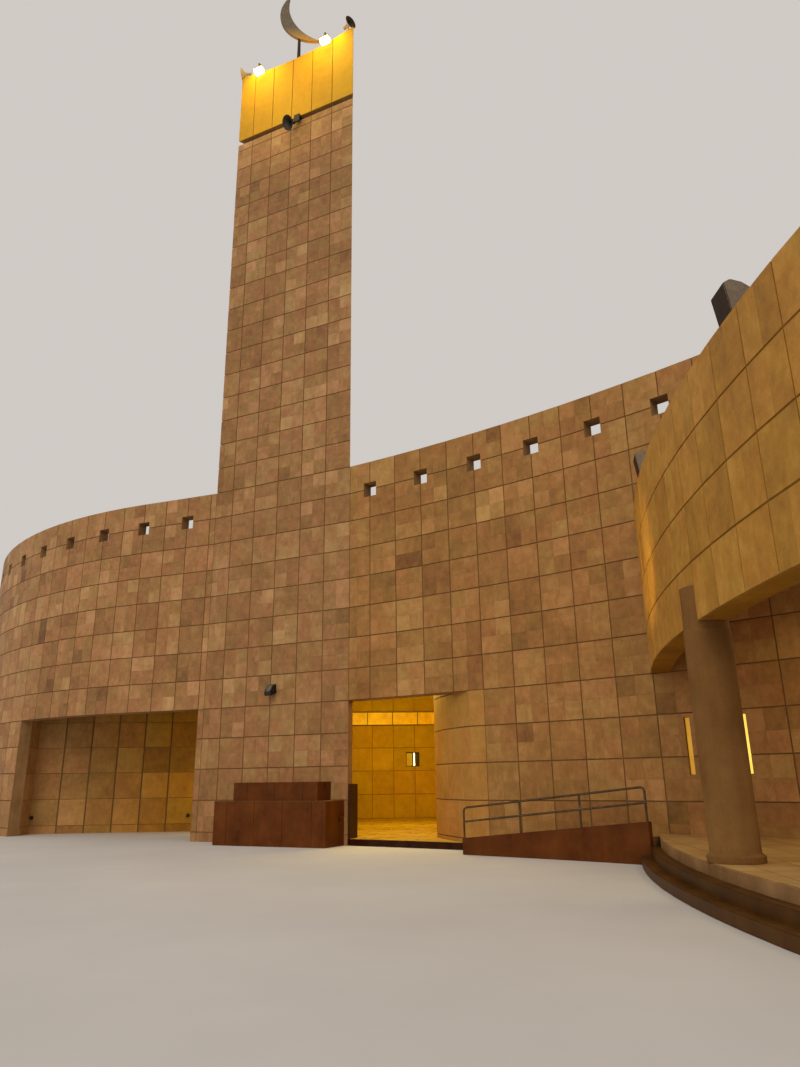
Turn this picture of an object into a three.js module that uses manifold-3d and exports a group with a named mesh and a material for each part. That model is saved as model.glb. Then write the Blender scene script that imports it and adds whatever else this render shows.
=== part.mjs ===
// Mosque front: a triangular minaret between two curved stone walls, a recess at the left,
// a lit passage at the right, and a curved portico on columns at the far right.
// Millimetres, +Z up, ground at Z = 0. X runs along the minaret's face and Y into the building.
// The origin is at the foot of the minaret's front wall, in the middle of its thickness.
import * as THREE from "three";
import { mergeVertices } from "three/addons/utils/BufferGeometryUtils.js";
import Module from "manifold-3d";

const wasm = await Module();
wasm.setup();

// Cladding module, heights and wall thicknesses. One square stone panel is one U.
const U = 900;
const GAP = 0.3; // clearance between touching pieces
const WALL = 0.45 * U;
const THIN_WALL = 0.4 * U;
const WALL_TOP = 12.3 * U;
const HEAD = 4.3 * U; // head of the openings and foot of the portico's fascia
const CEILING = [5.5 * U, 5.76 * U];
const ROOF = [9.9 * U, 10.25 * U];
const FLOOR = 0.19 * U;
const HOLE = 0.5 * U; // square parapet holes
const HOLE_Z = 11.3 * U;
const REAR = 13.4 * U; // outer face of the rear wall

// Minaret, its crown and its crescent
const FACE = 5.75 * U;
const SHELL = 0.42 * U;
const NIB = 0.28 * U; // squares the passage's left reveal
const GROOVE = [28.65 * U, 28.87 * U];
const GROOVE_DEPTH = 0.28 * U;
const GROOVE_SHELL = 0.3 * U;
const CROWN_TOP = 32.5 * U;
const CROWN_DIP = 0.3 * U;
const DECK = [30.9 * U, 31.15 * U];
const CRESCENT_R = 1.61 * U;
const CRESCENT_BITE = 2.37 * U;
const CRESCENT_SHIFT = 1.29 * U;
const CRESCENT_TURN = 28; // direction of the bite above the level
const CRESCENT_HEADING = 25; // of the plate in plan
const CRESCENT_PLATE = 120;
const CRESCENT_X = 0.72 * U;
const POLE_HEIGHT = 1.28 * U;
const POLE_R = [75, 55];
const LAMP = { x: 1.7 * U, y: -0.35 * U, drop: 280, half: [200, 130, 120], arm: 35 };

// Horn loudspeakers: a bell with a driver behind its throat
const HORN = { r: 255, length: 382, skin: 12, driver: [60, 110], neck: [50, 127], flare: [94, 255] };
const HORN_FOOT = { y: 80, half: 30, back: 212, turn: -20 };
const HORN_LEFT = { side: -1, inset: 105, rise: 215 };
const HORN_RIGHT = { side: 1, inset: 287, rise: 320 };
const FACE_HORN = { r: 270, start: [150, -170], drop: 210, azimuth: 250, tilt: -36 };
const FACE_HORN_ARM = { x: [130, 370], y: -190, thick: 60, rise: [40, 120] };

// Left wall: a short first panel, then panels that turn away one after another
const LEFT_FIRST = 0.25;
const LEFT_HEADING = 5.5;
const LEFT_STRAIGHT = 3.5;
const LEFT_TURN = 3.2;
const LEFT_PANELS = 20;
const LEFT_SPLIT = 5; // joints where the wall is split into pieces
const LEFT_JAMB = 10;
const LEFT_BEND = 15;

// Right wall: bends towards the court
const RIGHT_FIRST = 0.82;
const RIGHT_HEADING = 4.7;
const RIGHT_TURN = 1.194;
const RIGHT_PANELS = 16;
const RIGHT_JAMB = 5;
const RIGHT_BEND = 10;
const JAMB_S = 4.33 * U; // where the passage's splayed jamb starts

// Windows: two tall slots under the portico and one small window in the lobby's far wall
const SLOT = { width: 0.14 * U, z: [1.89 * U, 3.2 * U], along: [10.53 * U, 11.85 * U] };
const SLOT_PANE = [0.06 * U, 0.1 * U];
const WINDOW = { along: [2.78 * U, 3.39 * U], z: [2.46 * U, 3.09 * U] };
const PANE_SETBACK = 200;
const PANE = 36;

// Portico, its platform, steps, ramp and rail
const PORTICO_C = [41.175 * U, 2.3 * U];
const PORTICO_R = 29 * U; // outer face of the fascia
const PORTICO_BACK = 24.5 * U; // front face of the back wall
const PORTICO_START = 188.05; // degrees about the portico's centre
const PORTICO_END = 214.6;
const PORTICO_ROOF = [6.9 * U, 7.25 * U];
const FASCIA = 0.5 * U;
const FASCIA_TOP = 8.3 * U;
const FASCIA_JOINTS = [5, 9];
const LAMP_BOX_ANGLES = [194.4, 207];
const LAMP_BOX_WIDTH = 0.46 * U;
const COLUMN_R = [0.382 * U, 0.376 * U];
const COLUMN_TOP = HEAD + 0.61 * U;
const COLUMN_RING = [0.435 * U, 0.15 * U];
const COLUMN_LINE = PORTICO_R - 0.217 * U;
const COLUMN_ANGLES = [201.2, 213.6];
const PLATFORM = 0.58 * U;
const PLATFORM_R = PORTICO_R + 0.2 * U;
const TREAD = 0.22 * U;
const RAMP = { width: 1.2 * U, from: 4.68 * U, to: 9.9 * U, lip: 25 };
const KERB = 0.16 * U;
const KERB_RISE = [0.4 * U, 0.33 * U];
const RAIL = { r: 24, from: 0.008, to: 0.99, bays: 3, inset: 0.3 * KERB, top: 0.74 * U, middle: 0.4 * U };
const RAIL_BEND = [80, 0.0165]; // of the top rail's ends: height, and share of the run

// Plan helpers
const RAD = Math.PI / 180;
const at = (x, y) => [(x + FACE / (2 * U)) * U, y * U]; // units from the minaret's right corner
const add = (p, q, k = 1) => [p[0] + q[0] * k, p[1] + q[1] * k];
const lerp = (p, q, t) => [p[0] + (q[0] - p[0]) * t, p[1] + (q[1] - p[1]) * t];
const distance = (p, q) => Math.hypot(q[0] - p[0], q[1] - p[1]);
const unit = (p, q) => [(q[0] - p[0]) / distance(p, q), (q[1] - p[1]) / distance(p, q)];
const left = (d) => [-d[1], d[0]];

function polar(r, deg, c = PORTICO_C) {
  return [c[0] + r * Math.cos(deg * RAD), c[1] + r * Math.sin(deg * RAD)];
}

// A plan line moved to its left by a distance, mitred at its joints
function offsetLine(line, d) {
  return line.map((p, i) => {
    const before = i > 0 ? [left(unit(line[i - 1], p))] : [];
    const after = i < line.length - 1 ? [left(unit(p, line[i + 1]))] : [];
    const normals = [...before, ...after];
    const n = normals.reduce((a, b) => add(a, b), [0, 0]).map((v) => v / normals.length);
    return add(p, n, d / (n[0] ** 2 + n[1] ** 2));
  });
}

// Distance run at each point of a plan line
function distances(line) {
  const out = [0];
  for (let i = 1; i < line.length; i++) out.push(out[i - 1] + distance(line[i - 1], line[i]));
  return out;
}

function onLine(line, s) {
  const run = distances(line);
  const i = Math.min(line.length - 1, Math.max(1, run.findIndex((v) => v >= s)));
  return lerp(line[i - 1], line[i], (s - run[i - 1]) / (run[i] - run[i - 1]));
}

function stretch(line, s0, s1) {
  const run = distances(line);
  const inside = line.filter((p, i) => run[i] > s0 + 1 && run[i] < s1 - 1);
  return [onLine(line, s0), ...inside, onLine(line, s1)];
}

// A run of a plan line, short of its neighbours by half a clearance at both ends
function trimmed(line, a = GAP / 2, b = GAP / 2) {
  const n = line.length;
  const first = add(line[0], unit(line[0], line[1]), a);
  const last = add(line[n - 1], unit(line[n - 2], line[n - 1]), -b);
  return [first, ...line.slice(1, n - 1), last];
}

// A line of panels, each with a heading in degrees worked out from its number and distance
function chain(start, sign, first, count, headingOf) {
  const line = [start];
  let s = 0;
  for (let k = 0; k < count; k++) {
    const length = k === 0 ? first : 1;
    const heading = headingOf(k, s + length / 2) * RAD;
    line.push(add(line[k], [sign * Math.cos(heading), Math.sin(heading)], length * U));
    s += length;
  }
  return line;
}

// Solid helpers
function solid(geometry) {
  const g = geometry.clone();
  g.deleteAttribute("normal");
  g.deleteAttribute("uv");
  const merged = mergeVertices(g, 1e-3);
  const vertProperties = new Float32Array(merged.attributes.position.array);
  const triVerts = new Uint32Array(merged.index.array);
  return new wasm.Manifold(new wasm.Mesh({ numProp: 3, vertProperties, triVerts }));
}

function fromSolid(made) {
  const mesh = made.getMesh();
  const g = new THREE.BufferGeometry();
  g.setAttribute("position", new THREE.BufferAttribute(new Float32Array(mesh.vertProperties), 3));
  g.setIndex(new THREE.BufferAttribute(new Uint32Array(mesh.triVerts), 1));
  return g;
}

const cut = (g, ...tools) => fromSolid(tools.reduce((a, t) => a.subtract(solid(t)), solid(g)));
const join = (...gs) => fromSolid(gs.slice(1).reduce((a, g) => a.add(solid(g)), solid(gs[0])));

// A piece trimmed from below so that it sits on another with the usual clearance
const seatOn = (g, support) => cut(g, support.clone().translate(0, 0, GAP));

function prism(points, z0, z1) {
  const shape = new THREE.Shape(points.map((p) => new THREE.Vector2(...p)));
  return new THREE.ExtrudeGeometry(shape, { depth: z1 - z0, bevelEnabled: false }).translate(0, 0, z0);
}

function box(x0, x1, y0, y1, z0, z1) {
  const g = new THREE.BoxGeometry(x1 - x0, y1 - y0, z1 - z0);
  return g.translate((x0 + x1) / 2, (y0 + y1) / 2, (z0 + z1) / 2);
}

function uprightRod(r0, r1, z0, z1, [x, y], sides = 16) {
  const g = new THREE.CylinderGeometry(r1, r0, z1 - z0, sides);
  return g.rotateX(Math.PI / 2).translate(x, y, (z0 + z1) / 2);
}

function rodBetween(a, b, r, sides = 8) {
  const d = b.clone().sub(a);
  const turn = new THREE.Quaternion().setFromUnitVectors(new THREE.Vector3(0, 1, 0), d.clone().normalize());
  const middle = a.clone().add(b).multiplyScalar(0.5);
  const g = new THREE.CylinderGeometry(r, r, d.length(), sides);
  return g.applyQuaternion(turn).translate(...middle.toArray());
}

// A wall that follows a plan line, its thickness to the line's left
const wall = (line, thickness, z0, z1) => prism([...line, ...offsetLine(line, thickness).reverse()], z0, z1);

// The same with its own foot and top height at each point
function slopedBand(line, thickness, foot, top) {
  const other = offsetLine(line, thickness);
  const points = line.flatMap((p, i) => [
    [...p, foot[i]],
    [...p, top[i]],
    [...other[i], top[i]],
    [...other[i], foot[i]],
  ]);
  const last = 4 * (line.length - 1);
  const faces = [[0, 1, 2, 3], [last + 3, last + 2, last + 1, last]];
  for (let i = 0; i < last; i += 4) {
    for (let k = 0; k < 4; k++) faces.push([i + k, i + 4 + k, i + 4 + ((k + 1) % 4), i + ((k + 1) % 4)]);
  }
  const corners = faces.flatMap(([a, b, c, d]) => [a, b, c, a, c, d]);
  const g = new THREE.BufferGeometry();
  g.setAttribute("position", new THREE.Float32BufferAttribute(corners.flatMap((i) => points[i]), 3));
  return g;
}

// A hole through a wall at a distance along its plan line, between two depths
function holeTool(line, s, width, [d0, d1], [z0, z1]) {
  const c = onLine(line, s);
  const along = unit(onLine(line, s - U / 20), onLine(line, s + U / 20));
  const corner = (a, b) => add(add(c, along, a), left(along), b);
  const h = width / 2;
  return prism([corner(-h, d0), corner(h, d0), corner(h, d1), corner(-h, d1)], z0, z1);
}

// Square holes on every second joint of a parapet
function parapetHoles(line, first, from, to) {
  const tools = [];
  for (let joint = from; joint <= to; joint += 2) {
    const s = (first + joint - 1) * U;
    tools.push(holeTool(line, s, HOLE, [-U, U], [HOLE_Z - HOLE / 2, HOLE_Z + HOLE / 2]));
  }
  return tools;
}

// Finishes, and the list of pieces
const looks = {
  stone: [0x9c7850, 0.85, 0],
  granite: [0x5a2418, 0.55, 0],
  paving: [0xa08a6c, 0.8, 0],
  plaster: [0xb79a6c, 0.9, 0],
  render: [0x8c6c48, 0.75, 0],
  bronze: [0x3a2c20, 0.45, 0.7],
  darkMetal: [0x1c1a1a, 0.5, 0.6],
  steel: [0x8b8a88, 0.35, 0.9],
  roofing: [0x8d8070, 0.95, 0],
  glass: [0xffd040, 0.3, 0],
};
const group = new THREE.Group();
group.name = "mosque";
group.position.set(0, -SHELL / 2, 0);

function put(name, look, geometry) {
  const [color, roughness, metalness] = looks[look];
  const mesh = new THREE.Mesh(geometry, new THREE.MeshStandardMaterial({ color, roughness, metalness }));
  mesh.name = name;
  group.add(mesh);
}

// Plan lines of the two front walls, from the minaret outwards
const cornerR = at(0, 0);
const cornerL = [-cornerR[0], 0];
const leftLine = chain(cornerL, -1, LEFT_FIRST, LEFT_PANELS, (k) => {
  return -LEFT_HEADING + LEFT_TURN * Math.max(0, k - LEFT_STRAIGHT);
});
const rightLine = chain(cornerR, 1, RIGHT_FIRST, RIGHT_PANELS, (k, s) => -(RIGHT_HEADING + RIGHT_TURN * s));
const leftInside = (d) => offsetLine(leftLine.toReversed(), d).reverse();
const rightInside = (d) => offsetLine(rightLine, d);

// Minaret: a hollow equilateral triangle behind its face
const TRIANGLE_C = [0, FACE / (2 * Math.sqrt(3))];
const APEX = [0, (FACE * Math.sqrt(3)) / 2];
const triangle = (inset) => [210, 330, 90].map((a) => polar(FACE / Math.sqrt(3) - 2 * inset, a, TRIANGLE_C));
const hollow = ([z0, z1], inset = 0, shell = SHELL) => {
  return cut(prism(triangle(inset), z0, z1), prism(triangle(inset + shell), z0 - U, z1 + U));
};

// Point of the minaret's right flank at a depth behind the face, moved out by a clearance
const flank = (y, d) => [FACE / 2 - y * Math.tan(30 * RAD) + d / Math.cos(30 * RAD), y];
const mirrored = ([x, y]) => [-x, y];

// A short nib in line with the right corner, and the short wall panel left of the left corner
const nib = prism([cornerR, [cornerR[0], NIB], flank(NIB, -GAP)], 0, HEAD - GAP);
put("minaret_base", "stone", join(hollow([0, WALL_TOP - GAP]), nib));
put("minaret_shaft", "stone", hollow([WALL_TOP, GROOVE[0]]));
put("minaret_groove", "darkMetal", hollow([GROOVE[0] + GAP, GROOVE[1] - GAP], GROOVE_DEPTH, GROOVE_SHELL));

// Each face of the crown ends in a concave arc
const SCOOP_R = ((FACE / 2) ** 2 + CROWN_DIP ** 2) / (2 * CROWN_DIP);
const SCOOP_OVER = 100;
const CROWN_SAG = CROWN_TOP - CROWN_DIP;
const scoops = [0, 120, 240].map((a) => {
  const roll = new THREE.CylinderGeometry(SCOOP_R, SCOOP_R, SHELL + 2 * SCOOP_OVER, 480);
  return roll
    .translate(0, SHELL / 2 - TRIANGLE_C[1], CROWN_SAG + SCOOP_R)
    .rotateZ(a * RAD)
    .translate(0, TRIANGLE_C[1], 0);
});
const crown = cut(hollow([GROOVE[1], CROWN_TOP]), ...scoops);
put("minaret_crown", "stone", crown);
put("crown_deck", "roofing", prism(triangle(SHELL + GAP), ...DECK));

// Crescent on its pole, on the middle of the crown's front edge
const POLE = [0, SHELL / 2];
const poleTop = CROWN_SAG + POLE_HEIGHT;
const disc = (r, x, h) => new THREE.CylinderGeometry(r, r, h, 96).translate(x, 0, 0);
const crescentPlate = disc(CRESCENT_R, 0, CRESCENT_PLATE);
const crescent = cut(crescentPlate, disc(CRESCENT_BITE, CRESCENT_SHIFT, 3 * CRESCENT_PLATE))
  .rotateY(-CRESCENT_TURN * RAD)
  .translate(CRESCENT_X, 0, poleTop + Math.sqrt(CRESCENT_R ** 2 - CRESCENT_X ** 2))
  .rotateZ(CRESCENT_HEADING * RAD)
  .translate(...POLE, 0);
const pole = seatOn(uprightRod(...POLE_R, CROWN_SAG - POLE_R[0], poleTop + POLE_R[1], POLE), crown);
put("crescent_pole", "bronze", cut(pole, crescent.clone().translate(0, 0, -GAP)));
put("crescent", "bronze", crescent);

// Two lamps that hang in front of the crown, on arms over its top edge
const crownRise = (x) => CROWN_SAG + SCOOP_R - Math.sqrt(SCOOP_R ** 2 - x ** 2);
function crownLamp(x) {
  const { y, half: [w, d, h], arm } = LAMP;
  const top = crownRise(x) + 2 * arm;
  const z = crownRise(x) - LAMP.drop;
  const housing = box(x - w, x + w, y - d, y + d, z - h, z + h);
  const hanger = box(x - arm, x + arm, y - arm, y + arm, z, top);
  const overEdge = box(x - arm, x + arm, y, SHELL * 0.8, crownRise(x) - arm, top);
  return join(housing, hanger, seatOn(overEdge, crown));
}
put("crown_lamp_left", "darkMetal", crownLamp(-LAMP.x));
put("crown_lamp_right", "darkMetal", crownLamp(LAMP.x));

// A horn that starts at its driver's back and opens along an azimuth and a tilt
function horn(start, azimuth, tilt = 0, r = HORN.r) {
  const { length, skin, driver, neck, flare } = HORN;
  const bell = [neck, flare, [r, length]];
  const inside = bell.toReversed().map(([radius, along]) => [radius - skin, along]);
  const outline = [[0, 0], [driver[0], 0], driver, ...bell, ...inside, [0, neck[1]]];
  const profile = outline.map((p) => new THREE.Vector2(...p));
  return new THREE.LatheGeometry(profile, 28)
    .rotateZ(-Math.PI / 2)
    .rotateY(-tilt * RAD)
    .rotateZ(azimuth * RAD)
    .translate(...start);
}
function cornerHorn({ side, inset, rise }) {
  const { y, half, back, turn } = HORN_FOOT;
  const x = side * (FACE / 2 - inset);
  const z = CROWN_TOP + rise;
  const foot = box(x - half, x + half, y - half, y + half, CROWN_SAG, z);
  const start = [x - side * back * Math.cos(turn * RAD), y - back * Math.sin(turn * RAD), z];
  return join(seatOn(foot, crown), horn(start, side > 0 ? turn : 180 - turn));
}
put("corner_horn_left", "bronze", cornerHorn(HORN_LEFT));
put("corner_horn_right", "bronze", cornerHorn(HORN_RIGHT));

// One more horn looks down to the court, on a bracket out of the groove
const hornStart = [...FACE_HORN.start, GROOVE[0] - FACE_HORN.drop];
const armZ = FACE_HORN_ARM.rise.map((rise) => GROOVE[0] + rise);
const armY = [FACE_HORN_ARM.y, FACE_HORN_ARM.y + FACE_HORN_ARM.thick];
const faceHorn = join(
  horn(hornStart, FACE_HORN.azimuth, FACE_HORN.tilt, FACE_HORN.r),
  box(...FACE_HORN_ARM.x, ...armY, hornStart[2], armZ[1]),
  box(...FACE_HORN_ARM.x, armY[0], GROOVE_DEPTH - GAP, ...armZ),
);
put("face_horn", "darkMetal", faceHorn);

// Lamp box on the minaret's face above the pedestal
put("wall_lamp", "darkMetal", box(-0.15 * U, 0.13 * U, -0.34 * U, -GAP, 4.58 * U, 4.98 * U));

// Front walls: bands between the plan line and its inner line, up to the minaret's flanks
const leftInner = leftInside(WALL);
const rightInner = rightInside(WALL);
rightInner[0] = flank(WALL, 3 * GAP);
leftInner[0] = mirrored(rightInner[0]);
function band(outer, inner, [a, b], z0, z1) {
  const front = trimmed(outer.slice(a, b + 1));
  const back = trimmed(inner.slice(a, b + 1)).reverse();
  return prism([...front, ...back], z0, z1);
}
const leftHoles = parapetHoles(leftLine, LEFT_FIRST, 2, LEFT_PANELS - 2);
const rightHoles = parapetHoles(rightLine, RIGHT_FIRST, 1, RIGHT_PANELS - 1);
const leftHoled = (run, z0) => cut(band(leftLine, leftInner, run, z0, WALL_TOP), ...leftHoles);
const rightHoled = (run, z0) => cut(band(rightLine, rightInner, run, z0, WALL_TOP), ...rightHoles);
put("recess_jamb", "stone", band(leftLine, leftInner, [0, 1], 0, HEAD - GAP));
put("recess_lintel_right", "stone", leftHoled([0, LEFT_SPLIT], HEAD));
put("recess_lintel_left", "stone", leftHoled([LEFT_SPLIT, LEFT_JAMB], HEAD));
put("left_wall_mid", "stone", leftHoled([LEFT_JAMB, LEFT_BEND], 0));
put("left_wall_end", "stone", leftHoled([LEFT_BEND, LEFT_PANELS], 0));
put("passage_lintel", "stone", rightHoled([0, RIGHT_JAMB], HEAD));
put("right_wall_mid", "stone", rightHoled([RIGHT_JAMB, RIGHT_BEND], 0));

// Tall slot windows under the portico
const slots = SLOT.along.map((s) => holeTool(rightLine, s, SLOT.width, [-U, U], SLOT.z));
put("right_wall_end", "stone", cut(rightHoled([RIGHT_BEND, RIGHT_PANELS], 0), ...slots));
SLOT.along.forEach((s, i) => {
  const z = [SLOT.z[0] + GAP, SLOT.z[1] - GAP];
  put(`slot_glass_${i + 1}`, "glass", holeTool(rightLine, s, SLOT.width - 2 * GAP, SLOT_PANE, z));
});

// Passage: a splayed jamb at the right, narrowing in a curve, and a side wall behind it
const REAR_INNER = REAR - WALL;
const THROAT = at(2.3, 1.5);
const JAMB_CONTROL = at(3.15, 0.15);
const JAMB_STEPS = 6;
const jambStart = onLine(rightLine, JAMB_S);
const jambFace = Array.from({ length: JAMB_STEPS + 1 }, (_, i) => {
  const t = i / JAMB_STEPS;
  return lerp(lerp(THROAT, JAMB_CONTROL, t), lerp(JAMB_CONTROL, jambStart, t), t);
});
const jambRun = [RIGHT_JAMB - 1, RIGHT_JAMB + 1];
const jambEnd = trimmed(rightLine.slice(...jambRun))[1];
const jambInner = trimmed(rightInner.slice(...jambRun))[1];
const sideWallEnd = [THROAT[0] + WALL, THROAT[1] + 0.35 * U];
const frontLine = [add(cornerR, [-U, 0]), ...rightLine];
const frontBand = (z0) => wall(offsetLine(frontLine, -2 * U), 2 * U + WALL + GAP, z0, WALL_TOP + U);
const jambPlan = [...jambFace, jambEnd, jambInner, sideWallEnd, [THROAT[0], sideWallEnd[1]]];
const jambPier = cut(prism(jambPlan, 0, CEILING[1]), frontBand(HEAD - GAP));
const sideWall = box(THROAT[0], sideWallEnd[0], sideWallEnd[1] - 1, REAR_INNER - GAP, 0, CEILING[1]);
put("passage_side_wall", "stone", join(jambPier, sideWall));

// Slanted wall behind the minaret, in line with its right flank
const SLANT = [Math.cos(120 * RAD), Math.sin(120 * RAD)];
const slant = (t, d = 0) => add(add(APEX, SLANT, t), left(SLANT), d);
const LOBBY_DEPTH = 6 * U; // along the slanted wall
const SLANT_HEEL = 0.3 * U; // where the wall's back reaches its full thickness
const slantPlan = [
  slant(GAP),
  slant(LOBBY_DEPTH - GAP),
  slant(LOBBY_DEPTH - GAP, WALL),
  slant(SLANT_HEEL, WALL),
  slant(GAP, 0.1),
];
put("lobby_slant_wall", "stone", prism(slantPlan, 0, CEILING[1]));

// The lobby's far wall, square to the slanted wall, runs into the rear wall
const BACK = [Math.cos(30 * RAD), Math.sin(30 * RAD)];
const farAt = (t, d = 0) => add(add(slant(LOBBY_DEPTH), BACK, t), left(BACK), d);
const farReach = (d) => (REAR_INNER - GAP - farAt(0, d)[1]) / BACK[1];
const farPlan = [farAt(-WALL), farAt(farReach(0)), farAt(farReach(WALL), WALL), farAt(-WALL, WALL)];
function farBlock([t0, t1], [d0, d1], z) {
  return prism([farAt(t0, d0), farAt(t1, d0), farAt(t1, d1), farAt(t0, d1)], ...z);
}
const windowHole = farBlock(WINDOW.along, [-U, U], WINDOW.z);
put("lobby_far_wall", "stone", cut(prism(farPlan, 0, CEILING[1]), windowHole));
const paneAlong = [WINDOW.along[0] + GAP, WINDOW.along[1] - GAP];
const paneZ = [WINDOW.z[0] + GAP, WINDOW.z[1] - GAP];
put("window_glass", "glass", farBlock(paneAlong, [PANE_SETBACK, PANE_SETBACK + PANE], paneZ));

// Lit band high on the far wall
const LIT_BAND = { inset: 40, depth: 60, z: [4.3 * U, 4.89 * U] };
const bandAlong = [LIT_BAND.inset, farReach(0) - LIT_BAND.inset];
put("lobby_light_band", "glass", farBlock(bandAlong, [-LIT_BAND.depth, -GAP], LIT_BAND.z));

// Recess back wall, parallel to the lobby's far wall, with the wall of the recess's left reveal
const RECESS_CORNER = at(-15.4, 1.45);
const alongBack = (t, d = 0) => add(add(RECESS_CORNER, BACK, t), left(BACK), d);
const toSlant = add(slant(0, WALL), RECESS_CORNER, -1);
const backLength = toSlant[0] * BACK[0] + toSlant[1] * BACK[1] - GAP;
const backEnds = [alongBack(backLength), alongBack(backLength, THIN_WALL)];
const backPlan = [alongBack(0), ...backEnds, alongBack(0, THIN_WALL)];
const frontInner = leftInside(WALL + GAP);
const REVEAL_WIDTH = 0.45; // of a wall panel
const revealPlan = [
  frontInner[LEFT_JAMB],
  alongBack(1),
  alongBack(1, THIN_WALL),
  lerp(frontInner[LEFT_JAMB], frontInner[LEFT_JAMB + 1], REVEAL_WIDTH),
];
put("recess_back_wall", "stone", join(prism(backPlan, 0, CEILING[1]), prism(revealPlan, 0, CEILING[1])));

// Rear and end walls
const leftEnd = leftLine[LEFT_PANELS];
const rightEnd = rightLine[RIGHT_PANELS];
put("rear_wall", "stone", box(leftEnd[0], rightEnd[0], REAR_INNER, REAR, 0, WALL_TOP));
const returnPlan = [
  add(leftEnd, [0, 2 * GAP]),
  add(leftInner[LEFT_PANELS], [0, 2 * GAP]),
  [leftEnd[0] + WALL, REAR_INNER - GAP],
  [leftEnd[0], REAR_INNER - GAP],
];
put("left_return_wall", "stone", prism(returnPlan, 0, WALL_TOP));
const pastRightEnd = add(rightEnd, unit(rightLine[RIGHT_PANELS - 1], rightEnd), U);
const endBand = wall(offsetLine([...rightLine, pastRightEnd], -4 * U), 4 * U + WALL + GAP, -U, WALL_TOP + U);
const END_REACH = -5 * U; // in front of the wall it is cut back to
const endWall = box(rightEnd[0] - WALL, rightEnd[0], END_REACH, REAR_INNER - GAP, 0, WALL_TOP);
put("right_end_wall", "stone", cut(endWall, endBand));

// Lobby floor and ceiling, and the ceiling over the recess
const throatX = THROAT[0] - GAP;
const doorSill = trimmed(rightLine.slice(0, RIGHT_JAMB + 1), 2 * GAP).slice(1, RIGHT_JAMB);
const lobbyPlan = [
  [cornerR[0] + 2 * GAP, 0],
  [cornerR[0] + 2 * GAP, NIB + GAP],
  flank(NIB + GAP, 2 * GAP),
  [APEX[0] + 2 * GAP, APEX[1]],
  farAt(2 * GAP, -GAP),
  farAt(farReach(0), -GAP),
  [throatX, REAR_INNER - GAP],
  [throatX, THROAT[1]],
  ...jambFace.slice(1).map((p) => add(p, [-2 * GAP, -2 * GAP])),
  ...doorSill.reverse(),
];
put("lobby_floor", "paving", prism(lobbyPlan, 0, FLOOR));
put("lobby_ceiling", "plaster", cut(prism(lobbyPlan, ...CEILING), frontBand(HEAD)));
const recessPlan = [
  mirrored(flank(WALL + GAP, 3 * GAP)),
  ...frontInner.slice(1, LEFT_JAMB),
  lerp(frontInner[LEFT_JAMB], frontInner[LEFT_JAMB - 1], (3 * GAP) / U),
  alongBack(3, -GAP),
  alongBack(backLength - GAP, -GAP),
  slant(SLANT_HEEL, WALL + GAP),
  mirrored(flank(APEX[1] - SLANT_HEEL, 3 * GAP)),
];
put("recess_ceiling", "plaster", prism(recessPlan, ...CEILING));

// Roof in two halves, parted behind the minaret
const rightRoofLine = rightInside(WALL + GAP);
const leftRoofEdge = leftEnd[0] + WALL + GAP;
const rightRoofEdge = rightEnd[0] - WALL - GAP;
const ROOF_STEP = [0.6 * U, 0.2 * U]; // behind the front walls' inner corners, left and right
const leftRoof = [
  mirrored(flank(WALL + GAP, 3 * GAP)),
  ...frontInner.slice(1, LEFT_PANELS),
  [leftRoofEdge, frontInner[LEFT_PANELS][1] + ROOF_STEP[0]],
  [leftRoofEdge, REAR_INNER - GAP],
  [-GAP, REAR_INNER - GAP],
  [-GAP, APEX[1] + 2 * GAP],
];
const rightRoof = [
  flank(WALL + GAP, 3 * GAP),
  [GAP, APEX[1] + 2 * GAP],
  [GAP, REAR_INNER - GAP],
  [rightRoofEdge, REAR_INNER - GAP],
  [rightRoofEdge, rightRoofLine[RIGHT_PANELS][1] + ROOF_STEP[1]],
  ...rightRoofLine.slice(1, RIGHT_PANELS).reverse(),
];
put("roof_left", "roofing", prism(leftRoof, ...ROOF));
put("roof_right", "roofing", cut(prism(rightRoof, ...ROOF), endBand));

// Upright dark panel against the passage's left reveal
put("jamb_panel", "darkMetal", box(cornerR[0] + 3, cornerR[0] + 53, 20, 480, FLOOR + GAP, 1.77 * U));

// Portico: arcs share one grid of panel joints, and all that meets the main wall is cut back to it
const PANEL_DEG = U / PORTICO_R / RAD;
const mainWall = wall(offsetLine(rightLine, -GAP), 6 * U, -U, WALL_TOP + U);
function panelAngles(a0, a1) {
  const first = Math.ceil((a0 + 0.05 - PORTICO_START) / PANEL_DEG);
  const last = Math.floor((a1 - 0.05 - PORTICO_START) / PANEL_DEG);
  const count = last - first + 1;
  const between = Array.from({ length: count }, (_, k) => PORTICO_START + (first + k) * PANEL_DEG);
  return [a0, ...between, a1];
}
const arc = (r, a0, a1) => panelAngles(a0, a1).map((a) => polar(r, a));
function sector(r0, r1, a0, a1, z0, z1) {
  return prism([...arc(r1, a0, a1), ...arc(r0, a0, a1).reverse()], z0, z1);
}

// Columns with a foot ring, half set into the fascia
function column(angle, grow = 0) {
  const [foot, top] = COLUMN_R.map((r) => r + grow);
  return uprightRod(foot, top, PLATFORM + GAP, COLUMN_TOP + grow, polar(COLUMN_LINE, angle), 40);
}
COLUMN_ANGLES.forEach((angle, i) => {
  const [r, height] = COLUMN_RING;
  const ring = uprightRod(r, r, PLATFORM + GAP, PLATFORM + height, polar(COLUMN_LINE, angle), 40);
  put(`column_${i + 1}`, "render", join(column(angle), ring));
});

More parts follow.
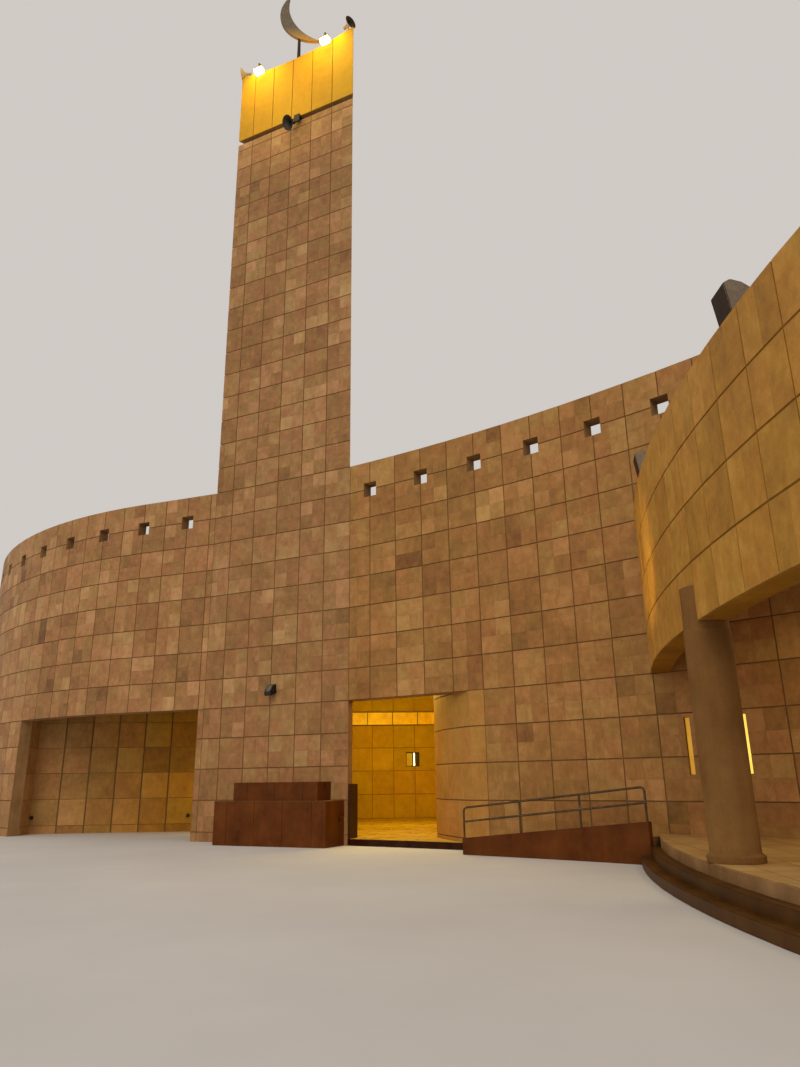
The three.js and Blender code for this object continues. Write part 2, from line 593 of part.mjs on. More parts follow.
// Fascia in three pieces; the first runs into the main wall
const fasciaStarts = [-1, ...FASCIA_JOINTS].map((k) => PORTICO_START + k * PANEL_DEG);
const clearDeg = GAP / PORTICO_R / RAD;
fasciaStarts.forEach((start, i) => {
  const end = i < fasciaStarts.length - 1 ? fasciaStarts[i + 1] - clearDeg : PORTICO_END;
  const body = sector(PORTICO_R - FASCIA, PORTICO_R, start, end, HEAD, FASCIA_TOP);
  put(`fascia_${i + 1}`, "stone", cut(body, mainWall, ...COLUMN_ANGLES.map((a) => column(a, GAP))));
});

// Lamp housings on top of the fascia: a hooded profile that leans towards the court
const HOOD = [[0.22, 0], [0.29, 0.5], [0.17, 0.57], [0, 0.52], [-0.2, 0.37], [-0.3, 0.12], [-0.3, 0]];
LAMP_BOX_ANGLES.forEach((angle, i) => {
  const shape = new THREE.Shape(HOOD.map(([r, z]) => new THREE.Vector2(r * U, z * U)));
  const hood = new THREE.ExtrudeGeometry(shape, { depth: LAMP_BOX_WIDTH, bevelEnabled: false });
  hood
    .translate(0, 0, -LAMP_BOX_WIDTH / 2)
    .rotateX(Math.PI / 2)
    .rotateZ(angle * RAD)
    .translate(...polar(PORTICO_R - FASCIA / 2, angle), FASCIA_TOP + GAP);
  put(`roof_lamp_${i + 1}`, "bronze", hood);
});

const backStart = 192; // beyond the main wall's face
const backWall = sector(PORTICO_BACK - WALL, PORTICO_BACK, backStart, PORTICO_END, 0, FASCIA_TOP);
put("portico_back_wall", "stone", cut(backWall, mainWall));
const roofR = [PORTICO_BACK + 2 * GAP, PORTICO_R - FASCIA - 2 * GAP];
const porticoRoof = sector(...roofR, PORTICO_START - 2 * PANEL_DEG, PORTICO_END, ...PORTICO_ROOF);
put("portico_roof", "roofing", cut(porticoRoof, mainWall));

// Platform with two steps below it
const slab = (r0, r1, z1) => sector(r0, r1, PORTICO_START - 3 * PANEL_DEG, PORTICO_END, 0, z1);
put("platform", "paving", cut(slab(PORTICO_BACK + 2 * GAP, PLATFORM_R, PLATFORM), mainWall));
const rampSide = wall(offsetLine(rightLine, -RAMP.width - GAP), 6 * U, -U, 4 * U);
const steps = [1, 2].map((k) => {
  return slab(PLATFORM_R + 2 * GAP, PLATFORM_R + k * TREAD, (PLATFORM * (3 - k)) / 3);
});
put("platform_steps", "granite", cut(join(...steps), rampSide));

// Ramp along the main wall up to the platform, with a kerb at its open side
const rampRun = stretch(rightLine, RAMP.from, RAMP.to);
const onGround = rampRun.map(() => 0);
function rising(low, high) {
  const run = distances(rampRun);
  return run.map((s) => low + ((high - low) * s) / run[run.length - 1]);
}
const kerbTop = rising(KERB_RISE[0], PLATFORM + KERB_RISE[1]);
const discAngles = [PORTICO_START - 5 * PANEL_DEG, PORTICO_END];
const platformDisc = sector(PORTICO_BACK - WALL, PLATFORM_R + 3 * GAP, ...discAngles, -U, 4 * U);
const rampLine = offsetLine(rampRun, KERB - RAMP.width);
const rampSlab = slopedBand(rampLine, RAMP.width - KERB - GAP, onGround, rising(RAMP.lip, PLATFORM));
const kerb = slopedBand(offsetLine(rampRun, -RAMP.width), KERB - GAP, onGround, kerbTop);
put("ramp_slab", "paving", cut(rampSlab, platformDisc, mainWall));
put("ramp_kerb", "granite", cut(kerb, platformDisc, mainWall));

// Rail on the kerb: posts, a top rail and a middle rail
const railLine = offsetLine(rampRun, RAIL.inset - RAMP.width);
function railPoint(fraction, height) {
  const run = distances(railLine);
  const s = fraction * run[run.length - 1];
  const i = Math.max(1, run.findIndex((v) => v >= s));
  const t = (s - run[i - 1]) / (run[i] - run[i - 1]);
  const z = kerbTop[i - 1] + (kerbTop[i] - kerbTop[i - 1]) * t + height;
  return new THREE.Vector3(...lerp(railLine[i - 1], railLine[i], t), z);
}
const postPlaces = Array.from({ length: RAIL.bays + 1 }, (_, i) => {
  return RAIL.from + ((RAIL.to - RAIL.from) * i) / RAIL.bays;
});
const POST_LIFT = 3; // keeps a post's square foot clear of the sloping kerb
const [BEND_DROP, BEND_RUN] = RAIL_BEND;
const bendAt = (f, inward) => [
  railPoint(f, RAIL.top - BEND_DROP),
  railPoint(f + 0.29 * inward, RAIL.top - 0.29 * BEND_DROP),
  railPoint(f + inward, RAIL.top),
];
const topLine = [
  railPoint(postPlaces[0], POST_LIFT),
  ...bendAt(postPlaces[0], BEND_RUN),
  ...postPlaces.slice(1, -1).map((f) => railPoint(f, RAIL.top)),
  ...bendAt(postPlaces[RAIL.bays], -BEND_RUN).reverse(),
  railPoint(postPlaces[RAIL.bays], POST_LIFT),
];
const middleLine = postPlaces.map((f) => railPoint(f, RAIL.middle));
const railPieces = postPlaces.slice(1, -1).map((f) => {
  return rodBetween(railPoint(f, POST_LIFT), railPoint(f, RAIL.top), RAIL.r);
});
const knob = (point) => new THREE.SphereGeometry(RAIL.r * 1.04, 8, 6).translate(...point.toArray());
for (const line of [topLine, middleLine]) {
  line.forEach((point, i) => {
    const isFoot = line === topLine && (i === 0 || i === line.length - 1);
    if (!isFoot) railPieces.push(knob(point));
    if (i > 0) railPieces.push(rodBetween(line[i - 1], point, RAIL.r));
  });
}
put("ramp_rail", "steel", join(...railPieces));

// Granite pedestal against the minaret's foot: a low block with a smaller one on it
const fromCorner = (...xs) => xs.map((x) => at(x, 0)[0]);
const pedestalLow = box(...fromCorner(-4.2, -0.12), -1.1 * U, -GAP, 0, 1.3 * U);
const pedestalHigh = box(...fromCorner(-3.7, -0.6), -0.8 * U, -GAP, 1.3 * U - 1, 1.85 * U);
put("pedestal", "granite", join(pedestalLow, pedestalHigh));

// Small lamps low on the recess's back wall
const LOW_LAMP = { width: 100, depth: 90, z: [0.55 * U, 0.68 * U], along: [0.04 * U, 6.18 * U] };
LOW_LAMP.along.forEach((t, i) => {
  const end = t + LOW_LAMP.width;
  const front = [alongBack(t, -LOW_LAMP.depth), alongBack(end, -LOW_LAMP.depth)];
  const back = [alongBack(end, -GAP), alongBack(t, -GAP)];
  put(`recess_lamp_${i + 1}`, "darkMetal", prism([...front, ...back], ...LOW_LAMP.z));
});

export default group;
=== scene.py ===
import math
import random

import bmesh
import bpy
import numpy as np
from mathutils import Matrix, Vector


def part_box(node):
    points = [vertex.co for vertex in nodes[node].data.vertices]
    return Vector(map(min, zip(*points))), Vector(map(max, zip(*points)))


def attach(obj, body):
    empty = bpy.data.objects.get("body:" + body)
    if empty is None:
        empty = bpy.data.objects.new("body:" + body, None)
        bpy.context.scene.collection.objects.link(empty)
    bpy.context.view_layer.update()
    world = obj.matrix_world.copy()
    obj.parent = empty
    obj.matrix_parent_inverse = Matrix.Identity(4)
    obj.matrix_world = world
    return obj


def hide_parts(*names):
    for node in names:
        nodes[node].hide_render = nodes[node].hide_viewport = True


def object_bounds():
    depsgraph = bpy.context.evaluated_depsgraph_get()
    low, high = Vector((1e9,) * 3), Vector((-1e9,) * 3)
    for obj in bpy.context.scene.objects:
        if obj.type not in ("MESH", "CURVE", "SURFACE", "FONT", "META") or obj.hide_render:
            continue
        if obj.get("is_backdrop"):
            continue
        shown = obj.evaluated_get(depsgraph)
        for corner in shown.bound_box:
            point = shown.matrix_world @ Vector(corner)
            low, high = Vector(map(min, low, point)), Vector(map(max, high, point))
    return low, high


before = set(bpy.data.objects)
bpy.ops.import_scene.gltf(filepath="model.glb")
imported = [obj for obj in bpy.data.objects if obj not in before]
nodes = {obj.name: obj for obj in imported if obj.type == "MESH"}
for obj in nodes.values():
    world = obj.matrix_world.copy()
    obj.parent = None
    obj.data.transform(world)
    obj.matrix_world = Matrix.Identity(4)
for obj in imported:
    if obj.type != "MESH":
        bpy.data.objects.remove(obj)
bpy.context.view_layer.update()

# Stone grid, in metres: square panels in rows that start at the same height on every wall
U = 0.9
FIRST_ROW = 0.3 * U
HEAD = 4.3 * U
CLAD = 0.016  # depth of a joint behind the face
JOINT, HAIR, SEAM, OPEN, CORNER = range(5)
HALF_GAP = {JOINT: 0.014, HAIR: 0.0005, SEAM: 0, OPEN: 0, CORNER: 0}
CHAMFER = {JOINT: 0.003, HAIR: 0.0005, SEAM: 0, OPEN: 0.003, CORNER: 0}
PLAIN = (0.5, 0.0, 0.0)  # tone, upright veins, level veins
UP = np.array([0.0, 0.0, 1.0])

# Tolerances, in metres, and the cosine of two directions that count as one
SLIVER = 0.06  # the narrowest stone
NEAR = 0.002
SAME = 1e-4
TINY = 1e-9
ONE_WAY = 0.99999

# The minaret's plan: an equilateral triangle, set back by half its shell
HALF_SIDE = 2.5875
HALF_SHELL = 0.189
INRADIUS = HALF_SIDE / math.sqrt(3)


def shown(name, data):
    """A new object in the scene."""
    made = bpy.data.objects.new(name, data)
    bpy.context.scene.collection.objects.link(made)
    return made


def placed(axes, origin):
    """The matrix that lays a thing's own axes along three directions at an origin."""
    made = Matrix.Identity(4)
    for k, axis in enumerate(axes):
        for row in range(3):
            made[row][k] = axis[row]
    made.translation = origin
    return made


# Materials
class Shader:
    """A material made of noise, ramps and bump around one Principled shader."""

    def __init__(self, name, **sockets):
        self.material = bpy.data.materials.new(name)
        self.material.use_nodes = True
        self.tree = self.material.node_tree
        self.bsdf = self.tree.nodes["Principled BSDF"]
        self.place = self.tree.nodes.new("ShaderNodeTexCoord").outputs["Object"]
        for key, value in sockets.items():
            self.bsdf.inputs[key.replace("_", " ").title().replace("Ior", "IOR")].default_value = value

    def node(self, kind, inputs=(), **settings):
        made = self.tree.nodes.new("ShaderNode" + kind)
        for key, value in settings.items():
            setattr(made, key, value)
        for key, value in dict(inputs).items():
            if isinstance(value, bpy.types.NodeSocket):
                self.tree.links.new(value, made.inputs[key])
            else:
                made.inputs[key].default_value = value
        return made

    def stretched(self, x, y, z, turn=0.0):
        inputs = {"Vector": self.place, "Scale": (x, y, z), "Rotation": (0, 0, turn)}
        return self.node("Mapping", inputs).outputs["Vector"]

    def noise(self, scale, detail, rough=0.55, vector=None, seed=None):
        inputs = {"Vector": vector or self.place, "Scale": scale, "Detail": detail, "Roughness": rough}
        if seed is None:
            return self.node("TexNoise", inputs).outputs["Fac"]
        return self.node("TexNoise", {**inputs, "W": seed}, noise_dimensions="4D").outputs["Fac"]

    def math(self, operation, a, b, clamp=False):
        return self.node("Math", {0: a, 1: b}, operation=operation, use_clamp=clamp).outputs[0]

    def sum(self, start, *terms):
        """start plus each value times its weight, the value taken about its middle."""
        total = start
        for value, weight in terms:
            centred = self.math("SUBTRACT", value, 0.5)
            total = self.math("ADD", total, self.math("MULTIPLY", centred, weight))
        return total

    def ramp(self, value, *stops):
        made = self.node("ValToRGB", {"Fac": value})
        elements = made.color_ramp.elements
        while len(elements) < len(stops):
            elements.new(0.5)
        for element, (place, colour) in zip(elements, stops):
            element.position = place
            element.color = (*colour, 1)
        return made.outputs["Color"]

    def mix(self, share, a, b, blend="MIX"):
        made = self.node("Mix", {0: share, 6: a, 7: b}, data_type="RGBA", blend_type=blend)
        return made.outputs[2]

    def finish(self, colour=None, rough=None, height=None, distance=0.002, strength=1.0):
        link = self.tree.links.new
        if colour is not None:
            link(colour, self.bsdf.inputs["Base Color"])
        if rough is not None:
            link(rough, self.bsdf.inputs["Roughness"])
        if height is not None:
            bump = self.node("Bump", {"Height": height, "Distance": distance, "Strength": strength})
            link(bump.outputs["Normal"], self.bsdf.inputs["Normal"])
        return self.material


PINK = (1.07, 0.95, 0.97)
OCHRE = (0.99, 1.01, 0.92)


def stone_look(name, dark, middle, light, contrast=1.0, pink=PINK, ochre=OCHRE, painted_glow=None):
    """Cut stone: each stone has its own tone and hue and may be veined upright or level.

    The last argument is painted lamp light: two places along x and the light's tint, which is full at the
    second one.
    """
    s = Shader(name, specular_ior_level=0.25)
    tone = s.node("Attribute", attribute_name="stone").outputs["Color"]
    parts = s.node("SeparateColor", {"Color": tone})
    seed = s.math("MULTIPLY", parts.outputs["Red"], 57.0)
    clouds = s.noise(1.7, 6, 0.62, seed=seed)
    mottle = s.noise(6.5, 5, 0.6, s.stretched(1, 1, 0.7), seed)
    grain = s.noise(34, 5, 0.6)
    upright = s.noise(1, 4, 0.6, s.stretched(8, 8, 0.9), seed)
    level = s.noise(1, 4, 0.6, s.stretched(0.9, 0.9, 9), seed)
    veins_up = s.math("MULTIPLY", s.math("SUBTRACT", upright, 0.5), parts.outputs["Green"])
    veins_level = s.math("MULTIPLY", s.math("SUBTRACT", level, 0.5), parts.outputs["Blue"])
    veins = s.math("ADD", veins_up, veins_level)
    weather = s.noise(0.22, 3, 0.5, s.stretched(1, 1, 0.35))
    value = s.sum(
        s.math("MULTIPLY", veins, 0.5),
        (parts.outputs["Red"], 1.2 * contrast),
        (clouds, 0.7 * contrast),
        (mottle, 0.6 * contrast),
        (grain, 0.16),
        (weather, 0.28),
    )
    value = s.math("ADD", value, 0.5, clamp=True)
    colour = s.ramp(value, (0.08, dark), (0.5, middle), (0.92, light))
    lot = s.node("TexWhiteNoise", {"W": seed}, noise_dimensions="1D").outputs["Value"]
    drift = s.sum(lot, (s.noise(2.3, 3, 0.5, seed=seed), 1.4))
    hue = s.ramp(drift, (0.15, pink), (0.85, ochre))
    colour = s.mix(1.0, colour, hue, "MULTIPLY")
    # painted lamp light: the stone takes on the light's tint more and more along x
    if painted_glow:
        along = s.node("SeparateXYZ", {"Vector": s.place}).outputs["X"]
        share = s.node("MapRange", {"Value": along, "From Min": painted_glow[0], "From Max": painted_glow[1]}).outputs[0]
        colour = s.mix(share, colour, s.mix(1.0, colour, (*painted_glow[2], 1), "MULTIPLY"))
    speck = s.ramp(s.noise(90, 2, 0.5), (0.34, (0.62, 0.56, 0.5)), (0.44, (1, 1, 1)))
    colour = s.mix(0.55, colour, speck, "MULTIPLY")
    rough = s.math("ADD", s.math("MULTIPLY", clouds, 0.35), 0.45)
    height = s.math("ADD", s.math("MULTIPLY", grain, 0.6), s.math("MULTIPLY", veins, 1.5))
    return s.finish(colour, rough, height, 0.003, 0.6)


def metal_look(name, dark, light, rough, metallic=0.85, scale=9.0):
    """Painted or aged metal with stains, fine scratches and duller patches."""
    s = Shader(name, metallic=metallic)
    stains = s.noise(scale, 6, 0.65)
    scratches = s.noise(1, 4, 0.7, s.stretched(6, 6, 160))
    value = s.sum(stains, (scratches, 0.35))
    colour = s.ramp(value, (0.3, dark), (0.7, light))
    roughness = s.math("ADD", s.math("MULTIPLY", stains, 0.35), rough - 0.15)
    return s.finish(colour, roughness, scratches, 0.0008, 0.5)


def painted_glow_metal_look(name, dark, light, painted_glow_colour, low, high):
    """Aged metal with painted lamp glow: golden at its foot, turning grey-brown with height."""
    s = Shader(name, metallic=0.3, specular_ior_level=0.3)
    stains = s.noise(9, 6, 0.65)
    colour = s.ramp(stains, (0.3, dark), (0.7, light))
    height = s.node("SeparateXYZ", {"Vector": s.place}).outputs["Z"]
    height = s.sum(height, (stains, 0.5))
    share = s.node("MapRange", {"Value": height, "From Min": low, "From Max": high}).outputs[0]
    # painted glow of the crown lamps below, fading out between low and high
    colour = s.mix(share, (*painted_glow_colour, 1), colour)
    return s.finish(colour, s.math("ADD", s.math("MULTIPLY", stains, 0.35), 0.4), stains, 0.001, 0.5)


def mineral_look(name, dark, light, rough, scale=1.2, grain=45.0, depth=0.002, speckle=None):
    """Plaster, render, membrane or granite: clouds, grain and streaks, with crystals where speckle is given.
    """
    s = Shader(name, specular_ior_level=0.1)
    clouds = s.noise(scale, 6, 0.6)
    fine = s.noise(grain, 6, 0.7)
    streaks = s.noise(1, 4, 0.6, s.stretched(5, 5, 0.5))
    value = s.sum(clouds, (fine, 0.5), (streaks, 0.35))
    colour = s.ramp(value, (0.28, dark), (0.72, light))
    if speckle:
        crystals = s.node("TexVoronoi", {"Vector": s.place, "Scale": grain * 1.6}).outputs["Distance"]
        colour = s.mix(0.7, colour, s.ramp(crystals, (0.12, speckle), (0.4, (1, 1, 1))), "MULTIPLY")
    roughness = s.math("ADD", s.math("MULTIPLY", clouds, 0.25), rough - 0.12)
    return s.finish(colour, roughness, fine, depth, 0.5)


def slab_look(name, dark, light, gap, size, turn, rough):
    """Paving slabs with their joints, in plan."""
    s = Shader(name, specular_ior_level=0.25)
    bricks = s.node(
        "TexBrick",
        {
            "Vector": s.stretched(1, 1, 1, turn),
            "Color1": (*dark, 1),
            "Color2": (*light, 1),
            "Mortar": (*gap, 1),
            "Scale": 1.0,
            "Mortar Size": 0.006,
            "Brick Width": size,
            "Row Height": size,
        },
        offset=0.0,
    )
    clouds = s.noise(2.2, 6, 0.6)
    fine = s.noise(60, 4, 0.6)
    shade = s.ramp(s.sum(clouds, (fine, 0.4)), (0.3, (0.62, 0.6, 0.58)), (0.7, (1, 1, 1)))
    colour = s.mix(0.85, bricks.outputs["Color"], shade, "MULTIPLY")
    height = s.math("SUBTRACT", s.math("MULTIPLY", fine, 0.15), bricks.outputs["Fac"])
    roughness = s.math("ADD", s.math("MULTIPLY", clouds, 0.3), rough - 0.15)
    return s.finish(colour, roughness, height, 0.003, 0.7)


def glow_look(name, dim, bright, strength, scale=1.4):
    """Lit translucent glass, brighter in clouds."""
    s = Shader(name, base_color=(0.08, 0.045, 0.01, 1), roughness=0.35, emission_strength=strength)
    clouds = s.noise(scale, 3, 0.5)
    streaks = s.noise(1, 3, 0.6, s.stretched(9, 9, 0.6))
    value = s.sum(clouds, (streaks, 0.35))
    colour = s.ramp(value, (0.25, dim), (0.75, bright))
    s.tree.links.new(colour, s.bsdf.inputs["Emission Color"])
    return s.finish(colour, None, streaks, 0.0006, 0.4)


STONE = stone_look("wall_stone", (0.165, 0.078, 0.026), (0.375, 0.195, 0.072), (0.6, 0.37, 0.165))
MINARET_STONE = stone_look(
    "minaret_stone", (0.155, 0.074, 0.025), (0.345, 0.182, 0.067), (0.555, 0.345, 0.155)
)
RIGHT_STONE = stone_look("right_wall_stone", (0.16, 0.073, 0.018), (0.365, 0.182, 0.05), (0.585, 0.34, 0.12))
PORTICO_STONE = stone_look("portico_stone", (0.18, 0.082, 0.02), (0.4, 0.22, 0.062), (0.62, 0.39, 0.14))
# The splayed jamb's stone is tinted orange with painted lamp light from the lobby
JAMB_STONE_PAINTED_GLOW = stone_look("jamb_stone_painted_glow", (0.21, 0.098, 0.018), (0.42, 0.208, 0.042), (0.61, 0.35, 0.09), 0.7)
# Painted amber lamp light on the recess walls, full at their right end near the recess lamp
RECESS_PAINTED_GLOW = (-10.5, -7.0, (0.96, 0.86, 0.1))
RECESS_STONE_PAINTED_GLOW = stone_look(
    "recess_stone_painted_glow", (0.18, 0.087, 0.022), (0.38, 0.2, 0.06), (0.58, 0.345, 0.13), painted_glow=RECESS_PAINTED_GLOW
)
# Stone of the lobby walls, yellowed with painted amber lamp light over its own tone
INNER_STONE_PAINTED_GLOW = stone_look("inner_stone_painted_glow", (0.2, 0.105, 0.006), (0.42, 0.25, 0.012), (0.6, 0.4, 0.03), 0.7)
WARM_HUES = ((1.04, 0.97, 0.96), (0.99, 1.0, 0.92))
# The fascia's stone is yellowed with painted warm lamp light over the stone's own tone
FASCIA_STONE_PAINTED_GLOW = stone_look(
    "fascia_stone", (0.24, 0.105, 0.014), (0.49, 0.245, 0.037), (0.73, 0.425, 0.09), 1.0, *WARM_HUES
)
# The crown's stone is tinted golden: painted lamp glow over the stone's own tone
CROWN_STONE_PAINTED_GLOW = stone_look(
    "crown_stone_painted_glow", (0.36, 0.185, 0.004), (0.56, 0.31, 0.006), (0.74, 0.44, 0.012), 0.6, *WARM_HUES
)
JOINT_FILL = mineral_look("joint_fill", (0.145, 0.074, 0.025), (0.22, 0.12, 0.045), 0.9)
# Joint fill of the lamp-lit lobby and fascia, yellowed with painted lamp light
JOINT_FILL_PAINTED_GLOW = mineral_look("joint_fill_painted_glow", (0.22, 0.11, 0.016), (0.32, 0.17, 0.03), 0.9)
PLAIN_STONE = mineral_look("sawn_stone", (0.22, 0.115, 0.045), (0.4, 0.23, 0.1), 0.8)
# yellowed with painted lamp light, like the fascia stone
FASCIA_CORE_PAINTED_GLOW = mineral_look("fascia_core", (0.26, 0.12, 0.01), (0.42, 0.21, 0.024), 0.8)
CRYSTALS = (0.5, 0.42, 0.38)
GRANITE = mineral_look(
    "red_granite", (0.08, 0.02, 0.003), (0.17, 0.05, 0.008), 0.3, 1.6, 80, 0.0003, CRYSTALS
)
DEEP_GRANITE = mineral_look("deep_granite", (0.02, 0.005, 0.002), (0.05, 0.014, 0.005), 0.3, 2.5, 70, 0.0005)
STEP_GRANITE = mineral_look(
    "step_granite", (0.055, 0.02, 0.003), (0.125, 0.053, 0.01), 0.5, 1.5, 70, 0.0006, CRYSTALS
)
COLUMN_RENDER = mineral_look(
    "column_render", (0.15, 0.068, 0.018), (0.27, 0.135, 0.042), 0.8, 0.9, 55, 0.003
)
PLASTER = mineral_look("plaster", (0.36, 0.22, 0.08), (0.55, 0.37, 0.15), 0.9, 0.8, 40, 0.002)
# The lobby ceiling's plaster is paler than the plaster elsewhere: painted light from the lamps below
LOBBY_PLASTER_PAINTED_LIGHT = mineral_look("lobby_plaster_painted_light", (0.6, 0.48, 0.24), (0.78, 0.66, 0.38), 0.9, 0.8, 40, 0.002)
ROOFING = mineral_look("roof_membrane", (0.2, 0.165, 0.13), (0.34, 0.29, 0.235), 0.92, 0.35, 30, 0.006)
PLATFORM_PAVING = slab_look(
    "platform_paving", (0.48, 0.28, 0.09), (0.58, 0.36, 0.13), (0.1, 0.05, 0.02), 0.6, -0.35, 0.55
)
LOBBY_PAVING = slab_look(
    "lobby_paving", (0.6, 0.38, 0.05), (0.7, 0.46, 0.08), (0.3, 0.17, 0.03), 0.6, 0.0, 0.3
)
BRONZE = metal_look("aged_bronze", (0.02, 0.012, 0.008), (0.07, 0.045, 0.028), 0.5)
# The crescent's golden foot is painted lamp glow from the crown lamps
CRESCENT_BRONZE_PAINTED_GLOW = painted_glow_metal_look(
    "crescent_bronze_painted_glow", (0.08, 0.06, 0.035), (0.2, 0.155, 0.1), (0.62, 0.33, 0.06), 29.95, 30.75
)
# The horns' pale paint, brightened and yellowed with painted golden lamp glow
HORN_PAINT_PAINTED_GLOW = metal_look("horn_paint_painted_glow", (0.6, 0.42, 0.15), (0.85, 0.64, 0.27), 0.5, 0.1)
DARK_METAL = metal_look("dark_metal", (0.012, 0.011, 0.011), (0.045, 0.04, 0.037), 0.5, 0.6)
PANEL_METAL = metal_look("panel_metal", (0.022, 0.005, 0.002), (0.055, 0.014, 0.005), 0.5, 0.2)
GREY_SHELL = metal_look("grey_brown_shell", (0.12, 0.085, 0.055), (0.24, 0.175, 0.12), 0.55, 0.3)
STEEL = metal_look("dark_steel", (0.06, 0.036, 0.017), (0.16, 0.1, 0.05), 0.45, 0.7)
# The groove is near black: painted shade inside it
GROOVE_PAINTED_SHADE = metal_look("groove_painted_shade", (0.012, 0.009, 0.007), (0.035, 0.026, 0.018), 0.8, 0.1, 2.0)
# The slot panes and the window's amber pane glow though no lamp is in them: painted lamp light from inside
AMBER_PAINTED_GLOW = glow_look("amber_painted_glow", (0.34, 0.15, 0.006), (0.5, 0.26, 0.02), 1.0)
WINDOW_PAINTED_GLOW = glow_look("window_glass", (0.25, 0.13, 0.002), (0.4, 0.22, 0.006), 0.6)
BRIGHT_PAINTED_GLOW = glow_look("bright_painted_glow", (0.86, 0.58, 0.07), (1.0, 0.76, 0.13), 1.05)
BAND_GLASS = glow_look("band_glass", (0.32, 0.125, 0.001), (0.47, 0.2, 0.002), 1.0, 3.5)
LAMP_GLASS = glow_look("lamp_glass", (1.0, 0.72, 0.3), (1.0, 0.85, 0.5), 6.0, 20)
DULL_GLASS = metal_look("lamp_window", (0.08, 0.062, 0.045), (0.2, 0.155, 0.11), 0.3, 0.2)


# Pieces are collected as points and faces, then made into one object
class Piece:
    def __init__(self):
        self.points = []
        self.faces = []
        self.looks = []
        self.tones = []
        self.smooth = []

    def add(self, points, faces, look, tone=PLAIN, smooth=False):
        base = len(self.points)
        self.points.extend(tuple(float(x) for x in p) for p in points)
        for face in faces:
            self.faces.append([base + i for i in face])
            self.looks.append(look)
            self.tones.append(tone)
            self.smooth.append(smooth)

    def add_bmesh(self, bm, look):
        """look is a material, or a function of a face's normal and centre."""
        fixed = isinstance(look, bpy.types.Material)
        bm.verts.index_update()
        bm.normal_update()
        base = len(self.points)
        self.points.extend(tuple(v.co) for v in bm.verts)
        for f in bm.faces:
            self.faces.append([base + v.index for v in f.verts])
            self.looks.append(look if fixed else look(f.normal, f.calc_center_median()))
            self.tones.append(PLAIN)
            self.smooth.append(True)
        bm.free()

    def make(self, name, slot, sharp=35):
        mesh = bpy.data.meshes.new(name)
        mesh.from_pydata(self.points, [], self.faces)
        used = list(dict.fromkeys(self.looks))
        for look in used:
            mesh.materials.append(look)
        mesh.polygons.foreach_set("material_index", [used.index(look) for look in self.looks])
        mesh.polygons.foreach_set("use_smooth", self.smooth)
        colours = mesh.color_attributes.new("stone", "FLOAT_COLOR", "CORNER")
        values = [v for face, tone in zip(self.faces, self.tones) for v in (*tone, 1.0) * len(face)]
        colours.data.foreach_set("color", values)
        if any(self.smooth):
            mesh.set_sharp_from_angle(angle=math.radians(sharp))
        made = shown(name, mesh)
        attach(made, "root")
        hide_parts(name.removesuffix("_dressed"))


# Reading a node's mesh
def welded(name):
    mesh = nodes[name].data
    mesh.calc_loop_triangles()
    places = {}
    points = []
    index = []
    for v in mesh.vertices:
        key = tuple(round(x, 5) for x in v.co)
        if key not in places:
            places[key] = len(points)
            points.append(tuple(v.co))
        index.append(places[key])
    triangles = [[index[i] for i in t.vertices] for t in mesh.loop_triangles]
    return np.array(points, float), [t for t in triangles if len(set(t)) == 3]


class Facet:
    """One upright plane face of a node, seen from outside: s runs right, z up."""

    def __init__(self, normal, offset):
        self.n = np.array([normal[0], normal[1], 0.0])
        self.n /= np.linalg.norm(self.n)
        self.d = np.array([-self.n[1], self.n[0], 0.0])
        self.offset = offset
        self.triangles = []

    def close(self, points):
        edges = {(t[i], t[(i + 1) % 3]) for t in self.triangles for i in range(3)}
        outline = [(a, b) for a, b in edges if (b, a) not in edges]
        flat = {i: (float(points[i] @ self.d), float(points[i][2])) for e in outline for i in e}
        self.edges = [(flat[a], flat[b]) for a, b in outline]
        self.s = [min(p[0] for p in flat.values()), max(p[0] for p in flat.values())]
        self.z = [min(p[1] for p in flat.values()), max(p[1] for p in flat.values())]
        self.shift = [0.0, 0.0]
        self.limit = [OPEN, OPEN]

    @property
    def width(self):
        return self.s[1] - self.s[0]

    def place(self, s, z, depth=0.0):
        slide = 0.0
        if depth and s < self.s[0] + 0.02:
            slide = self.shift[0] * depth
        elif depth and s > self.s[1] - 0.02:
            slide = self.shift[1] * depth
        return self.n * (self.offset - depth) + self.d * (s + slide) + UP * z

    def end(self, side):
        return self.place(self.s[side], 0)

    def inside(self, s, z):
        crossings = 0
        for (s0, z0), (s1, z1) in self.edges:
            if (z0 > z) != (z1 > z) and s < s0 + (z - z0) * (s1 - s0) / (z1 - z0):
                crossings += 1
        return crossings % 2 == 1


def normal_of(points, triangle):
    """A triangle's unit normal, or None where it has no area."""
    a, b, c = (points[i] for i in triangle)
    normal = np.cross(b - a, c - a)
    length = np.linalg.norm(normal)
    return None if length < TINY else normal / length


def facets_of(points, triangles):
    found = []
    for t in triangles:
        normal = normal_of(points, t)
        if normal is None or abs(normal[2]) > 0.02:
            continue
        offset = float(normal @ points[t[0]])
        for facet in found:
            if facet.n @ normal > ONE_WAY and abs(facet.offset - offset) < NEAR:
                break
        else:
            facet = Facet(normal, offset)
            found.append(facet)
        facet.triangles.append(t)
    for facet in found:
        facet.close(points)
    return found


